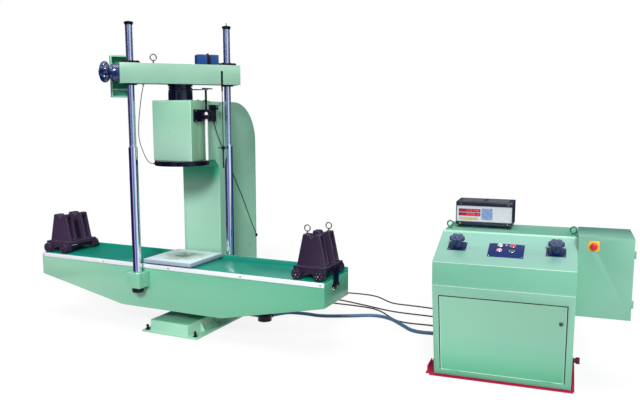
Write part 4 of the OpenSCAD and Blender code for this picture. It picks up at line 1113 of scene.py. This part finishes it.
# ---- Switch gear of the press head ----
lever_at = shift(0.213, 0.15, 1.676)
swung = lever_at @ turn(-60, "X")
hub = spun([(4.1, 0), (7.5, 0), (8, 0.5), (8, 4.5), (7.5, 5), (4.1, 5)], 32, closed=True)
roller = spun([
    (0, 0), (8.5, 0), (9, 0.5), (9, 5), (7.8, 5.5), (8.5, 6), (9, 6.6), (9, 11.4), (8.4, 12), (3, 12),
    (3, 12.6), (0, 12.8),
], 40)
lever = joined(
    placed(hub, lever_at @ turn(90, "Y")),
    placed(block((0.0004, -0.005, 0.006), (0.0046, 0.005, 0.045), 0.0006, 1), swung),
    placed(roller, swung @ shift(0, 0, 0.046) @ turn(90, "Y")),
)
piece("limit_switch_lever", lever, "bright_steel", bright, node="limit_lever")

glass = spun([(0, 0), (12.5, 0), (12.5, 1.5), (11.5, 3), (6, 4.2), (0, 4.5)], 40)
bezel = spun(
    [(12.2, -0.2), (15.8, -0.2), (15.8, 2.5), (14.8, 3.8), (12.8, 3.8), (12.2, 3)], 40, closed=True,
)
window = placed(joined(glass, finish_faces(bezel, 1)), shift(0.2159, 0.032, 1.602) @ turn(90, "Y"))
housing_screws = placed(
    socket_screw(0.0032, 0.002),
    *[shift(0.1889, y, z) @ turn(90, "Y") for y in (-0.08, 0.098) for z in (1.577, 1.647)],
)
window = joined(window, finish_faces(housing_screws, 2))
piece("gauge_window", window, "black_paint", lens_grey, black_gloss, bright, body="frame")


def ribbed(r, low, high, pitch, dip=0.0006, steps=20):
    """A rod with turned grooves, along Z."""
    outline = [(0, low), (r - dip, low)]
    z = low
    while z + pitch < high:
        outline += [(r, z + pitch * 0.25), (r, z + pitch * 0.7), (r - dip, z + pitch * 0.95)]
        z += pitch
    outline += [(r - dip, high), (0, high)]
    return lathe(outline, steps)


at_trip = on_diagonal @ shift(0.292, -0.083)
collar = [(0, 1828), (7.2, 1828), (8, 1829)]
for groove in (1852, 1878, 1904):
    collar += [(8, groove), (6.8, groove + 1), (6.8, groove + 5), (8, groove + 6)]
collar += [(8, 1935), (7, 1936), (0, 1936)]
stop = [
    (0, 1360), (11, 1360), (12, 1361), (12, 1370), (11.2, 1370.5), (11.2, 1375.5), (12, 1376), (12, 1385),
    (11, 1386), (0, 1386),
]
cross_pin = rod(0.0035, -0.044, 0.044, 0.0006, 20)
placed(cross_pin, shift(0, 0, 1.373) @ turn(-46.61, "Z") @ turn(90, "Y"))
trip = joined(
    placed(block((0.284, -0.083, 1.846), (0.3, -0.0712, 1.932), 0.002), on_diagonal),
    placed(joined(
        spun(collar, 28), hexagon(0.0085, 1.8195, 1.8275), rod(0.006, 1.79, 1.85, 0.0008, 28),
        ribbed(0.0035, 1.36, 1.822, 0.006), ribbed(0.006, 1.222, 1.36, 0.008, 0.0012, 24),
        spun(stop, 36), cross_pin,
    ), at_trip),
)
piece("limit_trip_rod", trip, "black_paint", black_gloss, body="crosshead")

# ---- Foot of the press ----
stud = joined(
    rod(0.008, 0, 0.052, 0.0012, 32),
    hexagon(0.014, 0.014, 0.027, 0.0012), hexagon(0.012, 0.036, 0.046, 0.0012),
    spun([(7.9, 14.1), (17.5, 14.1), (17.5, 15.8), (16.5, 16.6), (7.9, 16.6)], 40, closed=True),
)
studs = placed(stud, *[shift(x, y) for x in (-0.215, 0.215) for y in (-0.195, 0.79)])
piece("levelling_studs", studs, "black_paint", black_gloss, node="levelling_bolts")


# ---- Floor and light ----
def floor_finish():
    """Pale floor that shows white, keeps a faint shadow and bounces little light."""
    m = Nodes("pale_floor")
    m.set(Roughness=0.8)
    seen = m.seen()
    tone = m.ramp(seen, "Value", [(0, (0.3, 0.3, 0.3)), (1, (0.95, 0.95, 0.95))])
    m.link(tone, "Color", m.shader, "Base Color")
    part = m.add("ShaderNodeMath", {1: 0.85}, operation="MULTIPLY")
    m.link(seen, "Value", part, 0)
    blend = m.add("ShaderNodeMixShader")
    m.link(part, "Value", blend, "Fac")
    m.link(m.shader, "BSDF", blend, 1)
    m.link(m.glow((1, 1, 1)), "Emission", blend, 2)
    m.link(blend, "Shader", m.out, "Surface")
    return m.material


floor = bmesh.new()
bmesh.ops.create_grid(floor, x_segments=1, y_segments=1, size=40)
mesh_of("floor", floor, floor_finish())

CARD_STEPS = 24
CARD_LOW, CARD_HIGH = 0.003, 3.2
CARD_NEAR, CARD_FAR = 1.9, 5.0


def card(name, start, end, colour):
    """A curved studio card round the machine, seen only in reflections.

    Its ends are degrees from the -Y axis towards +X.
    """
    m = Nodes(name)
    m.link(m.glow(colour), "Emission", m.out, "Surface")
    bm = bmesh.new()
    angles = [radians(start + (end - start) * k / CARD_STEPS) for k in range(CARD_STEPS + 1)]
    rows = [
        [bm.verts.new((0.1 + reach * sin(a), -reach * cos(a), z)) for a in angles]
        for reach, z in ((CARD_NEAR, CARD_LOW), (CARD_FAR, CARD_LOW), (CARD_FAR, CARD_HIGH))
    ]
    for a, b in zip(rows, rows[1:]):
        for k in range(CARD_STEPS):
            bm.faces.new((a[k], a[k + 1], b[k + 1], b[k]))
    made = mesh_of(name, bm, m.material)
    for kind in ("camera", "diffuse", "transmission", "volume_scatter", "shadow"):
        setattr(made, "visible_" + kind, False)


card("left_card", -152, -12, (0.022, 0.012, 0.085))
card("left_pale_card", -12, 8, (0.5, 0.46, 0.76))
card("left_edge_card", 8, 34, (0.06, 0.13, 0.38))
card("front_card", 34, 58, (0.38, 0.56, 0.78))
card("right_edge_card", 90, 116, (0.06, 0.17, 0.36))
card("back_card", 116, 208, (0.012, 0.045, 0.1))

# The sky is white to the camera and in reflections, and dimmer as a light.
world = bpy.data.worlds.new("studio")
bpy.context.scene.world = world
sky = Tree(world)
choice = sky.add("ShaderNodeMixShader")
sky.link(sky.seen(), "Value", choice, "Fac")
for number, strength in ((1, 0.32), (2, 1)):
    light = sky.add("ShaderNodeBackground", {"Color": (1, 1, 1, 1), "Strength": strength})
    sky.link(light, "Background", choice, number)
sky.link(choice, "Shader", sky.add("ShaderNodeOutputWorld"), "Surface")


def sun(name, azimuth, height, strength, width):
    """A far lamp, its azimuth in degrees from the -Y axis towards +X."""
    data = bpy.data.lights.new(name, "SUN")
    data.energy = strength
    data.angle = radians(width)
    a, h = radians(azimuth), radians(height)
    towards = Vector((-sin(a) * cos(h), cos(a) * cos(h), -sin(h)))
    linked(name, data).rotation_euler = towards.to_track_quat("-Z", "Y").to_euler()


sun("key_lamp", 20, 31, 2.75, 14)
sun("top_lamp", 20, 84, 1.25, 40)
sun("side_lamp", 84, 24, 0.42, 30)

bpy.context.scene.view_settings.view_transform = "Standard"
